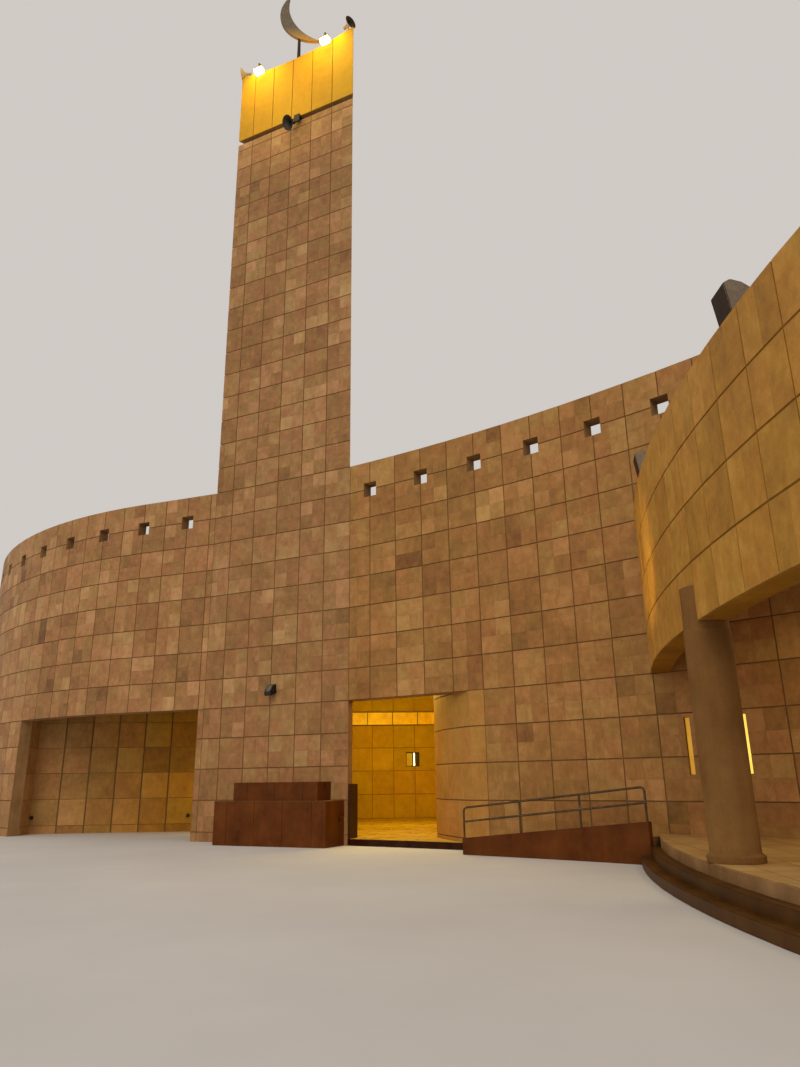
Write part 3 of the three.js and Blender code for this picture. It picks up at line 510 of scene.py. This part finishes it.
def mitre(facets, seam_below):
    """Sets how each clad facet meets its neighbours, and how its cut edge slopes there."""
    for facet in facets:
        for side in (0, 1):
            for other in facets:
                if other is facet or np.linalg.norm(facet.end(side) - other.end(1 - side)) > 0.003:
                    continue
                cosine = float(facet.n @ other.n)
                across = float(other.n @ facet.d)
                facet.shift[side] = (cosine - 1) / across if abs(across) > 1e-6 else 0.0
                if cosine < 0.97:
                    facet.limit[side] = CORNER
                else:
                    facet.limit[side] = SEAM if facet.width < seam_below else JOINT


def pushed_in(points, triangles, behind):
    """The node's points with the clad planes moved in by the depth of a joint.

    behind holds the ids of the triangles that lie behind the stones.
    """
    planes = [[] for _ in points]
    for t in triangles:
        normal = normal_of(points, t)
        if normal is None:
            continue
        aim = -CLAD if id(t) in behind else 0.0
        for i in t:
            if not any(n @ normal > ONE_WAY for n, _ in planes[i]):
                planes[i].append((normal, aim))
    moved = points.copy()
    for i, around in enumerate(planes):
        if any(aim for _, aim in around):
            normals = np.array([n for n, _ in around])
            aims = np.array([aim for _, aim in around])
            step = np.linalg.lstsq(normals, aims, rcond=0.01)[0]
            length = np.linalg.norm(step)
            moved[i] += step * min(1.0, 3 * CLAD / length)
    return moved


# One stone: a face with worn edges and cut sides
def inset(polygon, amounts):
    moved = []
    count = len(polygon)
    for i, p in enumerate(polygon):
        before, after = polygon[i - 1], polygon[(i + 1) % count]
        a = np.array([p[0] - before[0], p[1] - before[1]])
        b = np.array([after[0] - p[0], after[1] - p[1]])
        a /= np.hypot(*a)
        b /= np.hypot(*b)
        turn = a[0] * b[1] - a[1] * b[0]
        if abs(turn) < 0.05:
            moved.append((p[0] - b[1] * amounts[i], p[1] + b[0] * amounts[i]))
            continue
        ga, gb = amounts[i - 1], amounts[i]
        moved.append((p[0] + (ga * b[0] - gb * a[0]) / turn, p[1] + (ga * b[1] - gb * a[1]) / turn))
    return moved


def add_stone(piece, facet, polygon, kinds, look, tone, widths=(1.0, 1.0)):
    """widths scales the gaps of level and of upright joints."""
    gaps = [HALF_GAP[k] * widths[i % 2] for i, k in enumerate(kinds)]
    worn = [CHAMFER[k] for k in kinds]
    edge = inset(polygon, gaps)
    face = inset(polygon, [g + w for g, w in zip(gaps, worn)])
    count = len(polygon)
    deep = max(worn)
    points = [facet.place(*p) for p in face]
    points += [facet.place(*p, deep) for p in edge]
    points += [facet.place(*p, CLAD) for p in edge]
    faces = [list(range(count))]
    for i, kind in enumerate(kinds):
        j = (i + 1) % count
        if worn[i]:
            faces.append([i, count + i, count + j, j])
        if kind not in (SEAM, CORNER):
            faces.append([count + i, 2 * count + i, 2 * count + j, count + j])
    piece.add(points, faces, look, tone)


def lines(low, high, anchor, step):
    """Grid lines between two limits, both limits included."""
    first = math.ceil((low + SLIVER - anchor) / step)
    last = math.floor((high - SLIVER - anchor) / step)
    return [low, *(anchor + k * step for k in range(first, last + 1)), high]


def panel_tones(rng, spread):
    """Tones of a panel's four stones: mostly alike, with some quarters or halves that differ."""
    base = 0.5 + max(-0.12, min(0.12, rng.gauss(0, 0.05))) * spread
    tones = [base + rng.gauss(0, 0.016) for _ in range(4)]
    kind = rng.random()
    change = rng.choice((-1, 1, 1)) * rng.uniform(0.07, 0.18) * spread
    if kind < 0.34:
        tones[rng.randrange(4)] += change
    elif kind < 0.5:
        for i in rng.choice(((0, 1), (2, 3), (0, 2), (1, 3), (0, 3))):
            tones[i] += change
    veins = rng.random()
    strength = rng.uniform(0.3, 0.8)
    vein = (strength, 0) if veins < 0.1 else (0, strength) if veins < 0.3 else (0.05, 0.05)
    return [(t, *vein) for t in tones]


def within(values, limits, margin):
    """The values that lie between two limits, by more than a margin."""
    return [v for v in values if limits[0] + margin < v < limits[1] - margin]


def crosses(edge, across, up):
    """Whether an edge's box reaches into a rectangle."""
    for axis, (low, high) in enumerate((across, up)):
        ends = (edge[0][axis], edge[1][axis])
        if not (min(ends) < high - NEAR and max(ends) > low + NEAR):
            return False
    return True


def pieces_of(limits, ends):
    """Cuts a stretch at the ends that fall inside it."""
    cuts = [*limits, *within(ends, limits, NEAR)]
    return sorted({v if v in limits else round(v, 4) for v in cuts})


def clad_facet(piece, facet, look, rng, columns, rows, halves, spread=1.0, open_top=True, widths=(1.0, 1.0)):
    """Lays panels on a facet. halves holds the hairlines that quarter them, across and up."""
    s_cuts = sorted({*columns, *within(halves[0], facet.s, SLIVER)})
    z_cuts = sorted({*rows, *within(halves[1], facet.z, SLIVER)})
    tones = {}

    def kind_s(value):
        if abs(value - facet.s[0]) < SAME:
            return facet.limit[0]
        if abs(value - facet.s[1]) < SAME:
            return facet.limit[1]
        return JOINT if any(abs(value - c) < SAME for c in columns) else HAIR

    def kind_z(value):
        if abs(value - facet.z[0]) < SAME:
            return JOINT if facet.z[0] > 0.02 else OPEN
        if abs(value - facet.z[1]) < SAME:
            return OPEN if open_top else JOINT
        return JOINT if any(abs(value - r) < SAME for r in rows) else HAIR

    for s0, s1 in zip(s_cuts, s_cuts[1:]):
        column = sum(c < s0 + 0.01 for c in columns)
        right_half = kind_s(s0) == HAIR
        for z0, z1 in zip(z_cuts, z_cuts[1:]):
            row = sum(r < z0 + 0.01 for r in rows)
            key = (column, row)
            if key not in tones:
                tones[key] = panel_tones(rng, spread)
            tone = tones[key][(kind_z(z0) == HAIR) * 2 + right_half]
            crossing = [e for e in facet.edges if crosses(e, (s0, s1), (z0, z1))]
            ss = pieces_of((s0, s1), [p[0] for e in crossing for p in e])
            zz = pieces_of((z0, z1), [p[1] for e in crossing for p in e])
            for p, (sa, sb) in enumerate(zip(ss, ss[1:])):
                for q, (za, zb) in enumerate(zip(zz, zz[1:])):
                    middle = ((sa + sb) / 2, (za + zb) / 2)
                    if (crossing or len(ss) > 2) and not facet.inside(*middle):
                        continue

                    def beyond(ds, dz):
                        return SEAM if facet.inside(middle[0] + ds, middle[1] + dz) else OPEN

                    kinds = [
                        kind_z(za) if q == 0 else beyond(0, za - middle[1] - 0.01),
                        kind_s(sb) if p == len(ss) - 2 else beyond(sb - middle[0] + 0.01, 0),
                        kind_z(zb) if q == len(zz) - 2 else beyond(0, zb - middle[1] + 0.01),
                        kind_s(sa) if p == 0 else beyond(sa - middle[0] - 0.01, 0),
                    ]
                    polygon = [(sa, za), (sb, za), (sb, zb), (sa, zb)]
                    add_stone(piece, facet, polygon, kinds, look, tone, widths)


def stone_node(
    name, chosen, scheme, look=STONE, seam_below=0.0, slot="stone", core=PLAIN_STONE, fill=JOINT_FILL
):
    """Replaces a node by its core and the stones on the facets that chosen picks."""
    points, triangles = welded(name)
    clad = [f for f in facets_of(points, triangles) if chosen(f)]
    mitre(clad, seam_below)
    rng = random.Random(name)
    piece = Piece()
    behind = {id(t) for facet in clad for t in facet.triangles}
    pushed = pushed_in(points, triangles, behind)
    piece.add(pushed, [t for t in triangles if id(t) not in behind], core)
    piece.add(pushed, [t for t in triangles if id(t) in behind], fill)
    for facet in clad:
        scheme(piece, facet, look, rng)
    piece.make(f"{name}_dressed", slot)


def rows_of(facet):
    return lines(*facet.z, FIRST_ROW, U)


ROW_HALVES = [FIRST_ROW + (k + 0.5) * U for k in range(36)]


def jointed_ends(facet):
    """Ends that meet no other clad facet meet the next node across half a joint."""
    facet.limit = [JOINT if k == OPEN else k for k in facet.limit]


def curved_scheme(away):
    """Panels counted from the side of a facet that is further from the minaret."""

    def lay(piece, facet, look, rng):
        jointed_ends(facet)
        columns = lines(*facet.s, facet.s[away], U)
        halves = [b - U / 2 if away else a + U / 2 for a, b in zip(columns, columns[1:])]
        clad_facet(piece, facet, look, rng, columns, rows_of(facet), (halves, ROW_HALVES))

    return lay


def flat_scheme(start, spread=1.0, open_top=True):
    """Panels counted from one end of a flat face."""

    def lay(piece, facet, look, rng):
        columns = lines(*facet.s, facet.s[start], U)
        across = [c + U / 2 for c in [columns[1] - U, *columns[1:-1]]]
        clad_facet(piece, facet, look, rng, columns, rows_of(facet), (across, ROW_HALVES), spread, open_top)

    return lay


MINARET_C = np.array([0.0, INRADIUS - HALF_SHELL, 0.0])


def minaret_side(f):
    return f.width > 3 and abs(f.offset - f.n @ MINARET_C - INRADIUS) < 0.05


for name in ("minaret_base", "minaret_shaft"):
    stone_node(name, minaret_side, flat_scheme(1, open_top=False), MINARET_STONE)


def crown_scheme(piece, facet, look, rng):
    """Tall panels without level joints, cut to the arc above them."""
    columns = lines(*facet.s, facet.s[1], U)
    arc = sorted({p for edge in facet.edges for p in edge if p[1] > facet.z[0] + 1})
    places = [p[0] for p in arc]
    heights = [p[1] for p in arc]
    for i, (s0, s1) in enumerate(zip(columns, columns[1:])):
        left = facet.limit[0] if i == 0 else JOINT
        right = facet.limit[1] if i == len(columns) - 2 else JOINT
        between = within(places, (s0, s1), 0.04)[::6]
        top = [(s, float(np.interp(s, places, heights))) for s in [s1, *reversed(between), s0]]
        polygon = [(s0, facet.z[0]), (s1, facet.z[0]), *top]
        kinds = [JOINT, right, *[OPEN] * (len(top) - 1), left]
        tone = rng.choice(panel_tones(rng, 0.6))
        add_stone(piece, facet, polygon, kinds, look, tone)


stone_node("minaret_crown", minaret_side, crown_scheme, CROWN_STONE_PAINTED_GLOW)


def faces_court(f):
    return f.n[1] < -0.6 and f.width > 0.15


for name in ("recess_jamb", "recess_lintel_right", "recess_lintel_left", "left_wall_mid", "left_wall_end"):
    stone_node(name, faces_court, curved_scheme(0))
for name in ("passage_lintel", "right_wall_mid", "right_wall_end"):
    stone_node(name, faces_court, curved_scheme(1), RIGHT_STONE)


def faces(x, y, least=0.3):
    return lambda f: f.n[0] * x + f.n[1] * y > 0.9 and f.width > least


stone_node("left_return_wall", faces(-1, 0), flat_scheme(0))
stone_node("right_end_wall", faces(1, 0), flat_scheme(1))


def rear_scheme(piece, facet, look, rng):
    flat_scheme(0)(piece, facet, INNER_STONE_PAINTED_GLOW if facet.n[1] < -0.9 else look, rng)


stone_node("rear_wall", lambda f: f.width > 0.35 and f.z[1] - f.z[0] > 5, rear_scheme)

FAR_START = 0.45 * U  # length of the far wall that is hidden behind the slanted wall
FAR_ROWS = [0.25 * U, 1.27 * U, 2.28 * U, 3.29 * U, 4.29 * U, 4.93 * U]


def far_scheme(piece, facet, look, rng):
    """Whole panels in rows, with a low row above the lit band."""
    columns = lines(*facet.s, facet.s[0] + FAR_START + 0.25 * U, 0.975 * U)
    levels = [facet.z[0], *FAR_ROWS, facet.z[1]]
    clad_facet(piece, facet, look, rng, columns, levels, ([], []), 0.6, open_top=False)


stone_node("lobby_far_wall", faces(0.5, -0.866, 1), far_scheme, INNER_STONE_PAINTED_GLOW, fill=JOINT_FILL_PAINTED_GLOW)


def passage_scheme(piece, facet, look, rng):
    """The splayed jamb is a smooth curve with level joints only; panels follow behind it."""
    if facet.width > 2:
        flat_scheme(0, spread=0.5)(piece, facet, INNER_STONE_PAINTED_GLOW, rng)
    else:
        clad_facet(piece, facet, look, rng, facet.s, rows_of(facet), ([], []), 0.0)


def faces_passage(f):
    middle = f.place(sum(f.s) / 2, 1)
    return f.n[0] < -0.15 and f.z[1] - f.z[0] > 3 and middle[0] < 7 and middle[1] > -0.9 and f.width > 0.1


stone_node("passage_side_wall", faces_passage, passage_scheme, JAMB_STONE_PAINTED_GLOW, seam_below=2.0)
stone_node("lobby_slant_wall", faces(0.866, 0.5), flat_scheme(0, spread=0.5), INNER_STONE_PAINTED_GLOW, fill=JOINT_FILL_PAINTED_GLOW)


def recess_scheme(piece, facet, look, rng):
    if facet.n[0] > 0.8:
        look = STONE
    columns = lines(*facet.s, facet.s[0], 1.07 * U)
    clad_facet(piece, facet, look, rng, columns, rows_of(facet), ([], []), 0.8, widths=(0.5, 1.8))


def faces_recess(f):
    return f.n[1] < -0.3 and f.width > 2 or f.n[0] > 0.8 and f.width > 0.6


stone_node("recess_back_wall", faces_recess, recess_scheme, RECESS_STONE_PAINTED_GLOW)

PORTICO_C = np.array([41.175 * U, 2.3 * U - HALF_SHELL, 0.0])


def outward(f):
    return f.width > 0.2 and f.offset > f.n @ PORTICO_C


def fascia_scheme(piece, facet, look, rng):
    """One panel to a facet, halved by a hairline."""
    jointed_ends(facet)
    middle = [sum(facet.s) / 2]
    clad_facet(piece, facet, look, rng, facet.s, rows_of(facet), (middle, []), 0.8, widths=(1.1, 0.9))


def both_sides(f):
    return f.width > 0.2 and abs(f.offset - f.n @ PORTICO_C) > 20


for i in (1, 2, 3):
    stone_node(f"fascia_{i}", both_sides, fascia_scheme, FASCIA_STONE_PAINTED_GLOW, core=FASCIA_CORE_PAINTED_GLOW, fill=JOINT_FILL_PAINTED_GLOW)
stone_node("portico_back_wall", outward, curved_scheme(1), PORTICO_STONE)


# Rounded copies of nodes, and parts built on their boxes
def rounded(name, bevel, look):
    """A node's shape with its edges rounded."""
    bm = bmesh.new()
    bm.from_mesh(nodes[name].data)
    bmesh.ops.remove_doubles(bm, verts=bm.verts, dist=2e-5)
    flat = math.radians(0.5)
    bmesh.ops.dissolve_limit(bm, angle_limit=flat, verts=bm.verts, edges=bm.edges)
    if bevel:
        least = math.radians(30)
        sharp = [e for e in bm.edges if len(e.link_faces) == 2 and e.calc_face_angle(0) > least]
        bmesh.ops.bevel(bm, geom=sharp, offset=bevel, segments=2, affect="EDGES", clamp_overlap=True)
    piece = Piece()
    piece.add_bmesh(bm, look)
    return piece


def block(piece, low, high, look, bevel=0.006, turn=None):
    """A box with rounded edges; turn is a matrix that places it."""
    bm = bmesh.new()
    bmesh.ops.create_cube(bm, size=1)
    size = [b - a for a, b in zip(low, high)]
    middle = [(a + b) / 2 for a, b in zip(low, high)]
    bmesh.ops.scale(bm, vec=size, verts=bm.verts)
    bmesh.ops.translate(bm, vec=middle, verts=bm.verts)
    bmesh.ops.bevel(bm, geom=bm.edges[:], offset=min(bevel, min(size) / 3), segments=2, affect="EDGES")
    if turn is not None:
        bm.transform(turn)
    piece.add_bmesh(bm, look)


def lathe(piece, profile, look, centre):
    """A turned form about an upright axis: profile is radius and height."""
    count = 72
    points = []
    for r, h in profile:
        for k in range(count):
            a = 2 * math.pi * k / count
            points.append((centre.x + r * math.cos(a), centre.y + r * math.sin(a), h))
    faces = []
    for row in range(len(profile) - 1):
        for k in range(count):
            m = (k + 1) % count
            faces.append([row * count + k, row * count + m, (row + 1) * count + m, (row + 1) * count + k])
    faces.append(list(reversed(range(count))))
    faces.append([(len(profile) - 1) * count + k for k in range(count)])
    piece.add(points, faces, look, smooth=True)


def extruded(piece, profile, low, high, look):
    """A profile in depth and height, drawn out across from low to high."""
    count = len(profile)
    points = [(x, y, z) for x in (low, high) for y, z in profile]
    faces = [list(range(count)), [count + k for k in reversed(range(count))]]
    for k in range(count):
        m = (k + 1) % count
        faces.append([m, k, count + k, count + m])
    piece.add(points, faces, look)


# Columns of render that taper, with a foot ring and a narrower neck under the fascia
COLUMN_FOOT = 0.382 * U
COLUMN_NECK = 0.376 * U
for i in (1, 2):
    name = f"column_{i}"
    low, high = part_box(name)
    centre = (low + high) / 2
    ring = (high.x - low.x) / 2
    foot = low.z
    profile = [
        (ring - 0.006, foot),
        (ring, foot + 0.006),
        (ring, foot + 0.085),
        (ring - 0.008, foot + 0.095),
        (ring - 0.022, foot + 0.1),
        (COLUMN_FOOT + 0.004, foot + 0.125),
        (COLUMN_FOOT - 0.002, foot + 0.135),
        (COLUMN_NECK + 0.002, HEAD - 0.12),
        (COLUMN_NECK - 0.012, HEAD - 0.105),
        (COLUMN_NECK - 0.012, high.z),
    ]
    piece = Piece()
    lathe(piece, profile, COLUMN_RENDER, centre)
    piece.make(f"{name}_dressed", "render")


# Roof lamps: a dark window towards the court in a grey-brown shell
def window_look(outside):
    return lambda normal, centre: BRONZE if normal @ outside > 0.9 else GREY_SHELL


ROOF_LAMP_ANGLES = (194.4, 207)
for i, angle in enumerate(ROOF_LAMP_ANGLES):
    name = f"roof_lamp_{i + 1}"
    outside = Vector((math.cos(math.radians(angle)), math.sin(math.radians(angle)), 0))
    shell = rounded(name, 0.012, window_look(outside))
    shell.make(f"{name}_dressed", "bronze")

# The corner horns are painted pale; the insides of their mouths are dark bronze, painted shade in the bells
HORN_TURN = math.radians(-20)
HORN_Y = -0.109


def horn_paint_and_painted_shade(side, x, z):
    along = Vector((side * math.cos(HORN_TURN), math.sin(HORN_TURN), 0))
    place = Vector((x, HORN_Y, z))

    def look(normal, centre):
        outward = centre - place
        outward -= along * outward.dot(along)
        # faces inside the bell take dark bronze: painted shade
        return BRONZE if normal.dot(outward) < 0 and outward.length > 0.04 else HORN_PAINT_PAINTED_GLOW

    return look


# Metal pieces keep the node's form, with rounded edges
METALWORK = [
    ("corner_horn_left", 0.004, horn_paint_and_painted_shade(-1, -2.4825, 29.465), "bronze"),
    ("corner_horn_right", 0.004, horn_paint_and_painted_shade(1, 2.3005, 29.57), "bronze"),
    ("face_horn", 0.004, DARK_METAL, "dark_metal"),
    ("crescent", 0.012, CRESCENT_BRONZE_PAINTED_GLOW, "bronze"),
    ("crescent_pole", 0.004, BRONZE, "bronze"),
    ("ramp_rail", 0, STEEL, "steel"),
    ("recess_lamp_1", 0.012, DARK_METAL, "dark_metal"),
    ("recess_lamp_2", 0.012, DARK_METAL, "dark_metal"),
]
for name, bevel, look, slot in METALWORK:
    rounded(name, bevel, look).make(f"{name}_dressed", slot, sharp=50)

# Crown lamps: lit glass below a finned cap, in a dark rim, on a hanger from an arm
LAMP_DEPTH = 0.26
LAMP_HEIGHT = 0.24
CAP = 0.07
RIM = 0.016
ARM = 0.035  # half the thickness of the hanger
FINS = 8
FIN = 0.014
FIN_STEP = 0.049
for side in ("left", "right"):
    name = f"crown_lamp_{side}"
    low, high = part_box(name)
    x0, x1 = low.x, high.x
    y0, y1 = low.y, low.y + LAMP_DEPTH
    z0, z1 = low.z, low.z + LAMP_HEIGHT
    across = (x0 + x1) / 2
    along = (y0 + y1) / 2
    cap = z1 - CAP
    piece = Piece()
    block(piece, (x0 + 0.01, y0 + 0.01, z0 + 0.006), (x1 - 0.01, y1 - 0.01, cap + 0.01), LAMP_GLASS, 0.01)
    block(piece, (x0 + 0.004, y0 + 0.004, cap), (x1 - 0.004, y1 - 0.004, z1 - 0.02), DARK_METAL, 0.012)
    for k in range(FINS):
        x = x0 + 0.02 + k * FIN_STEP
        block(piece, (x, y0 + 0.02, z1 - 0.03), (x + FIN, y1 - 0.02, z1), DARK_METAL, 0.003)
    for y in (y0, y1 - RIM):
        block(piece, (x0, y, z0), (x1, y + RIM, z0 + 0.02), DARK_METAL, 0.004)
        for x in (x0, x1 - RIM):
            block(piece, (x, y, z0), (x + RIM, y + RIM, cap + 0.01), DARK_METAL, 0.004)
    for x in (x0, x1 - RIM):
        block(piece, (x, y0, z0), (x + RIM, y1, z0 + 0.02), DARK_METAL, 0.004)
    block(piece, (across - ARM, along - ARM, z1 - 0.03), (across + ARM, along + ARM, high.z), DARK_METAL)
    block(piece, (across - ARM, along - ARM, high.z - 0.064), (across + ARM, high.y, high.z), DARK_METAL)
    piece.make(f"{name}_dressed", "dark_metal")

# Floodlight on the minaret's face: a wedge with its window in the sloped top
low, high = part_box("wall_lamp")
piece = Piece()
back = high.y
front = low.y
sill = low.z + 0.11
head = high.z - 0.02
run = 0.17
wedge = [
    (back, low.z + 0.09),
    (front + 0.03, low.z),
    (front, low.z + 0.03),
    (front, sill),
    (front + run, head),
    (back - 0.03, high.z),
    (back, high.z),
]
extruded(piece, wedge, low.x + 0.02, high.x - 0.02, DARK_METAL)
length = math.hypot(run, head - sill)
tilt = math.atan2(head - sill, run)
turn = Matrix.Translation((0, front, sill)) @ Matrix.Rotation(tilt, 4, "X")
block(piece, (low.x + 0.05, 0.02, -0.012), (high.x - 0.05, length - 0.02, 0.006), DULL_GLASS, 0.004, turn)
for x in (low.x, high.x - 0.03):
    block(piece, (x, front + 0.05, low.z + 0.1), (x + 0.03, back, low.z + 0.2), DARK_METAL, 0.005)
piece.make("wall_lamp_dressed", "dark_metal")

# Lit panes in dark frames
def framed_pane(name, glasses, bar, splits=()):
    """Glass in a dark frame, split at distances from its left end; glasses are used in turn."""
    points, triangles = welded(name)
    facets = sorted(facets_of(points, triangles), key=lambda f: (round(f.width, 2), -f.n[1]))
    front = facets[-1]
    depth = next(f.width for f in facets if abs(f.n @ front.n) < 0.1)
    turn = placed((front.d, -front.n, UP), front.n * front.offset)
    s0, s1 = front.s
    z0, z1 = front.z
    piece = Piece()
    uprights = [s0, *(s0 + split for split in splits), s1]
    for k, s in enumerate(uprights):
        a = s if k == 0 else s - bar if k == len(uprights) - 1 else s - bar / 2
        block(piece, (a, 0, z0), (a + bar, depth, z1), DARK_METAL, bar / 5, turn)
    for k, (a, b) in enumerate(zip(uprights, uprights[1:])):
        glass = glasses[k % len(glasses)]
        for z in (z0, z1 - bar):
            rail = ((a + bar * 0.6, 0.001, z), (b - bar * 0.6, depth - 0.001, z + bar))
            block(piece, *rail, DARK_METAL, bar / 5, turn)
        pane_low = (a + bar * 0.8, depth * 0.35, z0 + bar * 0.8)
        pane_high = (b - bar * 0.8, depth * 0.65, z1 - bar * 0.8)
        block(piece, pane_low, pane_high, glass, 0.001, turn)
    piece.make(f"{name}_dressed", "lit_glass")


# The slot panes and the window's amber pane glow: painted lamp light from inside
framed_pane("slot_glass_1", [AMBER_PAINTED_GLOW], 0.006)
framed_pane("slot_glass_2", [BRIGHT_PAINTED_GLOW], 0.006)
framed_pane("window_glass", [WINDOW_PAINTED_GLOW, LAMP_GLASS, PANEL_METAL], 0.035, [0.33 * U, 0.44 * U])
framed_pane("lobby_light_band", [BAND_GLASS], 0.02, [k * U - 0.04 for k in (1.01, 2.17, 3.33, 4.49)])

# Dark panel at the passage's left jamb
rounded("jamb_panel", 0.006, PANEL_METAL).make("jamb_panel_dressed", "dark_metal")

# Polished granite: slabs on the pedestal, steps, kerb
PEDESTAL_SLAB = 0.93


def pedestal_scheme(piece, facet, look, rng):
    columns = lines(*facet.s, facet.s[0] + facet.width % PEDESTAL_SLAB / 2, PEDESTAL_SLAB)
    clad_facet(piece, facet, look, rng, columns, list(facet.z), ([], []), 0.5, widths=(0.3, 0.3))


stone_node("pedestal", lambda f: f.n[1] < 0.5 and f.width > 0.5, pedestal_scheme, GRANITE, slot="granite")
for name, bevel, look in (("platform_steps", 0.012, STEP_GRANITE), ("ramp_kerb", 0.01, GRANITE)):
    rounded(name, bevel, look).make(f"{name}_dressed", "granite")


def floor_look(top, side):
    return lambda normal, centre: top if normal.z > 0.7 else side


FLOORS = (
    ("platform", 0.012, PLATFORM_PAVING, PLAIN_STONE),
    ("ramp_slab", 0.004, PLATFORM_PAVING, PLAIN_STONE),
    ("lobby_floor", 0.008, LOBBY_PAVING, DEEP_GRANITE),
)
for name, bevel, top, side in FLOORS:
    rounded(name, bevel, floor_look(top, side)).make(f"{name}_dressed", "paving")


def soffit_look(normal, centre):
    return PLASTER if normal.z < -0.5 else ROOFING


rounded("portico_roof", 0, soffit_look).make("portico_roof_dressed", "roofing")

# Nodes that keep their own shape
KEPT = {
    "minaret_groove": GROOVE_PAINTED_SHADE,
    "crown_deck": ROOFING,
    "roof_left": ROOFING,
    "roof_right": ROOFING,
    "lobby_ceiling": LOBBY_PLASTER_PAINTED_LIGHT,
    "recess_ceiling": PLASTER,
}
for name, look in KEPT.items():
    nodes[name].data.materials.clear()
    nodes[name].data.materials.append(look)

# Camera at the photo's place
HEADING = math.radians(25.56)
PITCH = math.radians(17.502)
ROLL = math.radians(-0.7467)
EYE = (13.82, -20.109, 1.658)
forward = Vector(
    (-math.sin(HEADING) * math.cos(PITCH), math.cos(HEADING) * math.cos(PITCH), math.sin(PITCH))
)
level = Vector((math.cos(HEADING), math.sin(HEADING), 0))
above = level.cross(forward)
right = level * math.cos(ROLL) + above * math.sin(ROLL)
upward = above * math.cos(ROLL) - level * math.sin(ROLL)
lens = bpy.data.cameras.new("camera")
lens.lens = 26.46
lens.sensor_width = 36
lens.clip_start = 0.1
lens.clip_end = 1000
camera = shown("camera", lens)
camera.matrix_world = placed((right, upward, -forward), EYE)
bpy.context.scene.camera = camera

# Pale floor and soft light
floor_shader = Shader("studio_floor", roughness=0.9)
FLOOR_TONES = ((0.3, (0.6, 0.585, 0.565)), (0.7, (0.66, 0.645, 0.625)))
floor_colour = floor_shader.ramp(floor_shader.noise(0.3, 3), *FLOOR_TONES)
floor_mesh = bpy.data.meshes.new("studio_floor")
SPAN = 400.0
corners = [(x * SPAN, y * SPAN, 0) for x, y in ((-1, -1), (1, -1), (1, 1), (-1, 1))]
floor_mesh.from_pydata(corners, [], [(0, 1, 2, 3)])
floor_mesh.materials.append(floor_shader.finish(floor_colour))
floor = shown("studio_floor", floor_mesh)
floor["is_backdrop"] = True

world = bpy.data.worlds.new("studio")
bpy.context.scene.world = world
world.use_nodes = True
background = world.node_tree.nodes["Background"]
background.inputs["Color"].default_value = (0.74, 0.7, 0.66, 1)
background.inputs["Strength"].default_value = 0.85
bpy.context.scene.view_settings.view_transform = "Standard"


def lamp(name, kind, place, target, energy, colour, **settings):
    data = bpy.data.lights.new(name, kind)
    data.energy = energy
    data.color = colour
    for key, value in settings.items():
        setattr(data, key, value)
    made = shown(name, data)
    made.location = place
    made.rotation_mode = "QUATERNION"
    made.rotation_quaternion = (Vector(target) - Vector(place)).to_track_quat("-Z", "Y")


lamp("soft_key", "SUN", (10, -40, 40), (0, 0, 8), 0.85, (1.0, 0.9, 0.76), angle=math.radians(40))
AMBER = (1.0, 0.6, 0.03)
GOLD = (1.0, 0.68, 0.04)
for side, x in (("left", -1.53), ("right", 1.53)):
    lamp(f"crown_wash_{side}", "AREA", (x, -1.0, 28.9), (x * 0.9, -0.19, 27.7), 50, GOLD, size=1.5)
lamp("crown_foot", "AREA", (0, -2.2, 25.6), (0, -0.19, 26.9), 22, (1.0, 0.8, 0.3), size=2.5)
lamp("crown_inside", "AREA", (0, 1.2, 28.3), (0, 1.2, 29.5), 30, AMBER, size=1.5)
lamp("lobby_light", "AREA", (1.6, 4.6, 3.6), (0.0, 10.4, 3.0), 195, (1.0, 0.73, 0.02), size=2.3)
CONE = {"spot_size": math.radians(48), "spot_blend": 0.7, "shadow_soft_size": 0.3}
lamp("lobby_floor_light", "AREA", (2.7, 2.4, 4.6), (2.9, 1.8, 0), 190, (1.0, 0.74, 0.12), size=1.8)
lamp("fascia_wash", "SPOT", (9.0, -6.0, 4.2), (12.9, -3.6, 6.4), 260, (1.0, 0.7, 0.12), **CONE)
lamp("recess_light", "AREA", (-4.2, 3.4, 2.0), (-8.5, 2.4, 1.2), 20, AMBER, size=1.5)
lamp("portico_light", "AREA", (15.0, -5.5, 4.8), (15.0, -5.5, 0), 55, (1.0, 0.8, 0.4), size=2.0)

low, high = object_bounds()
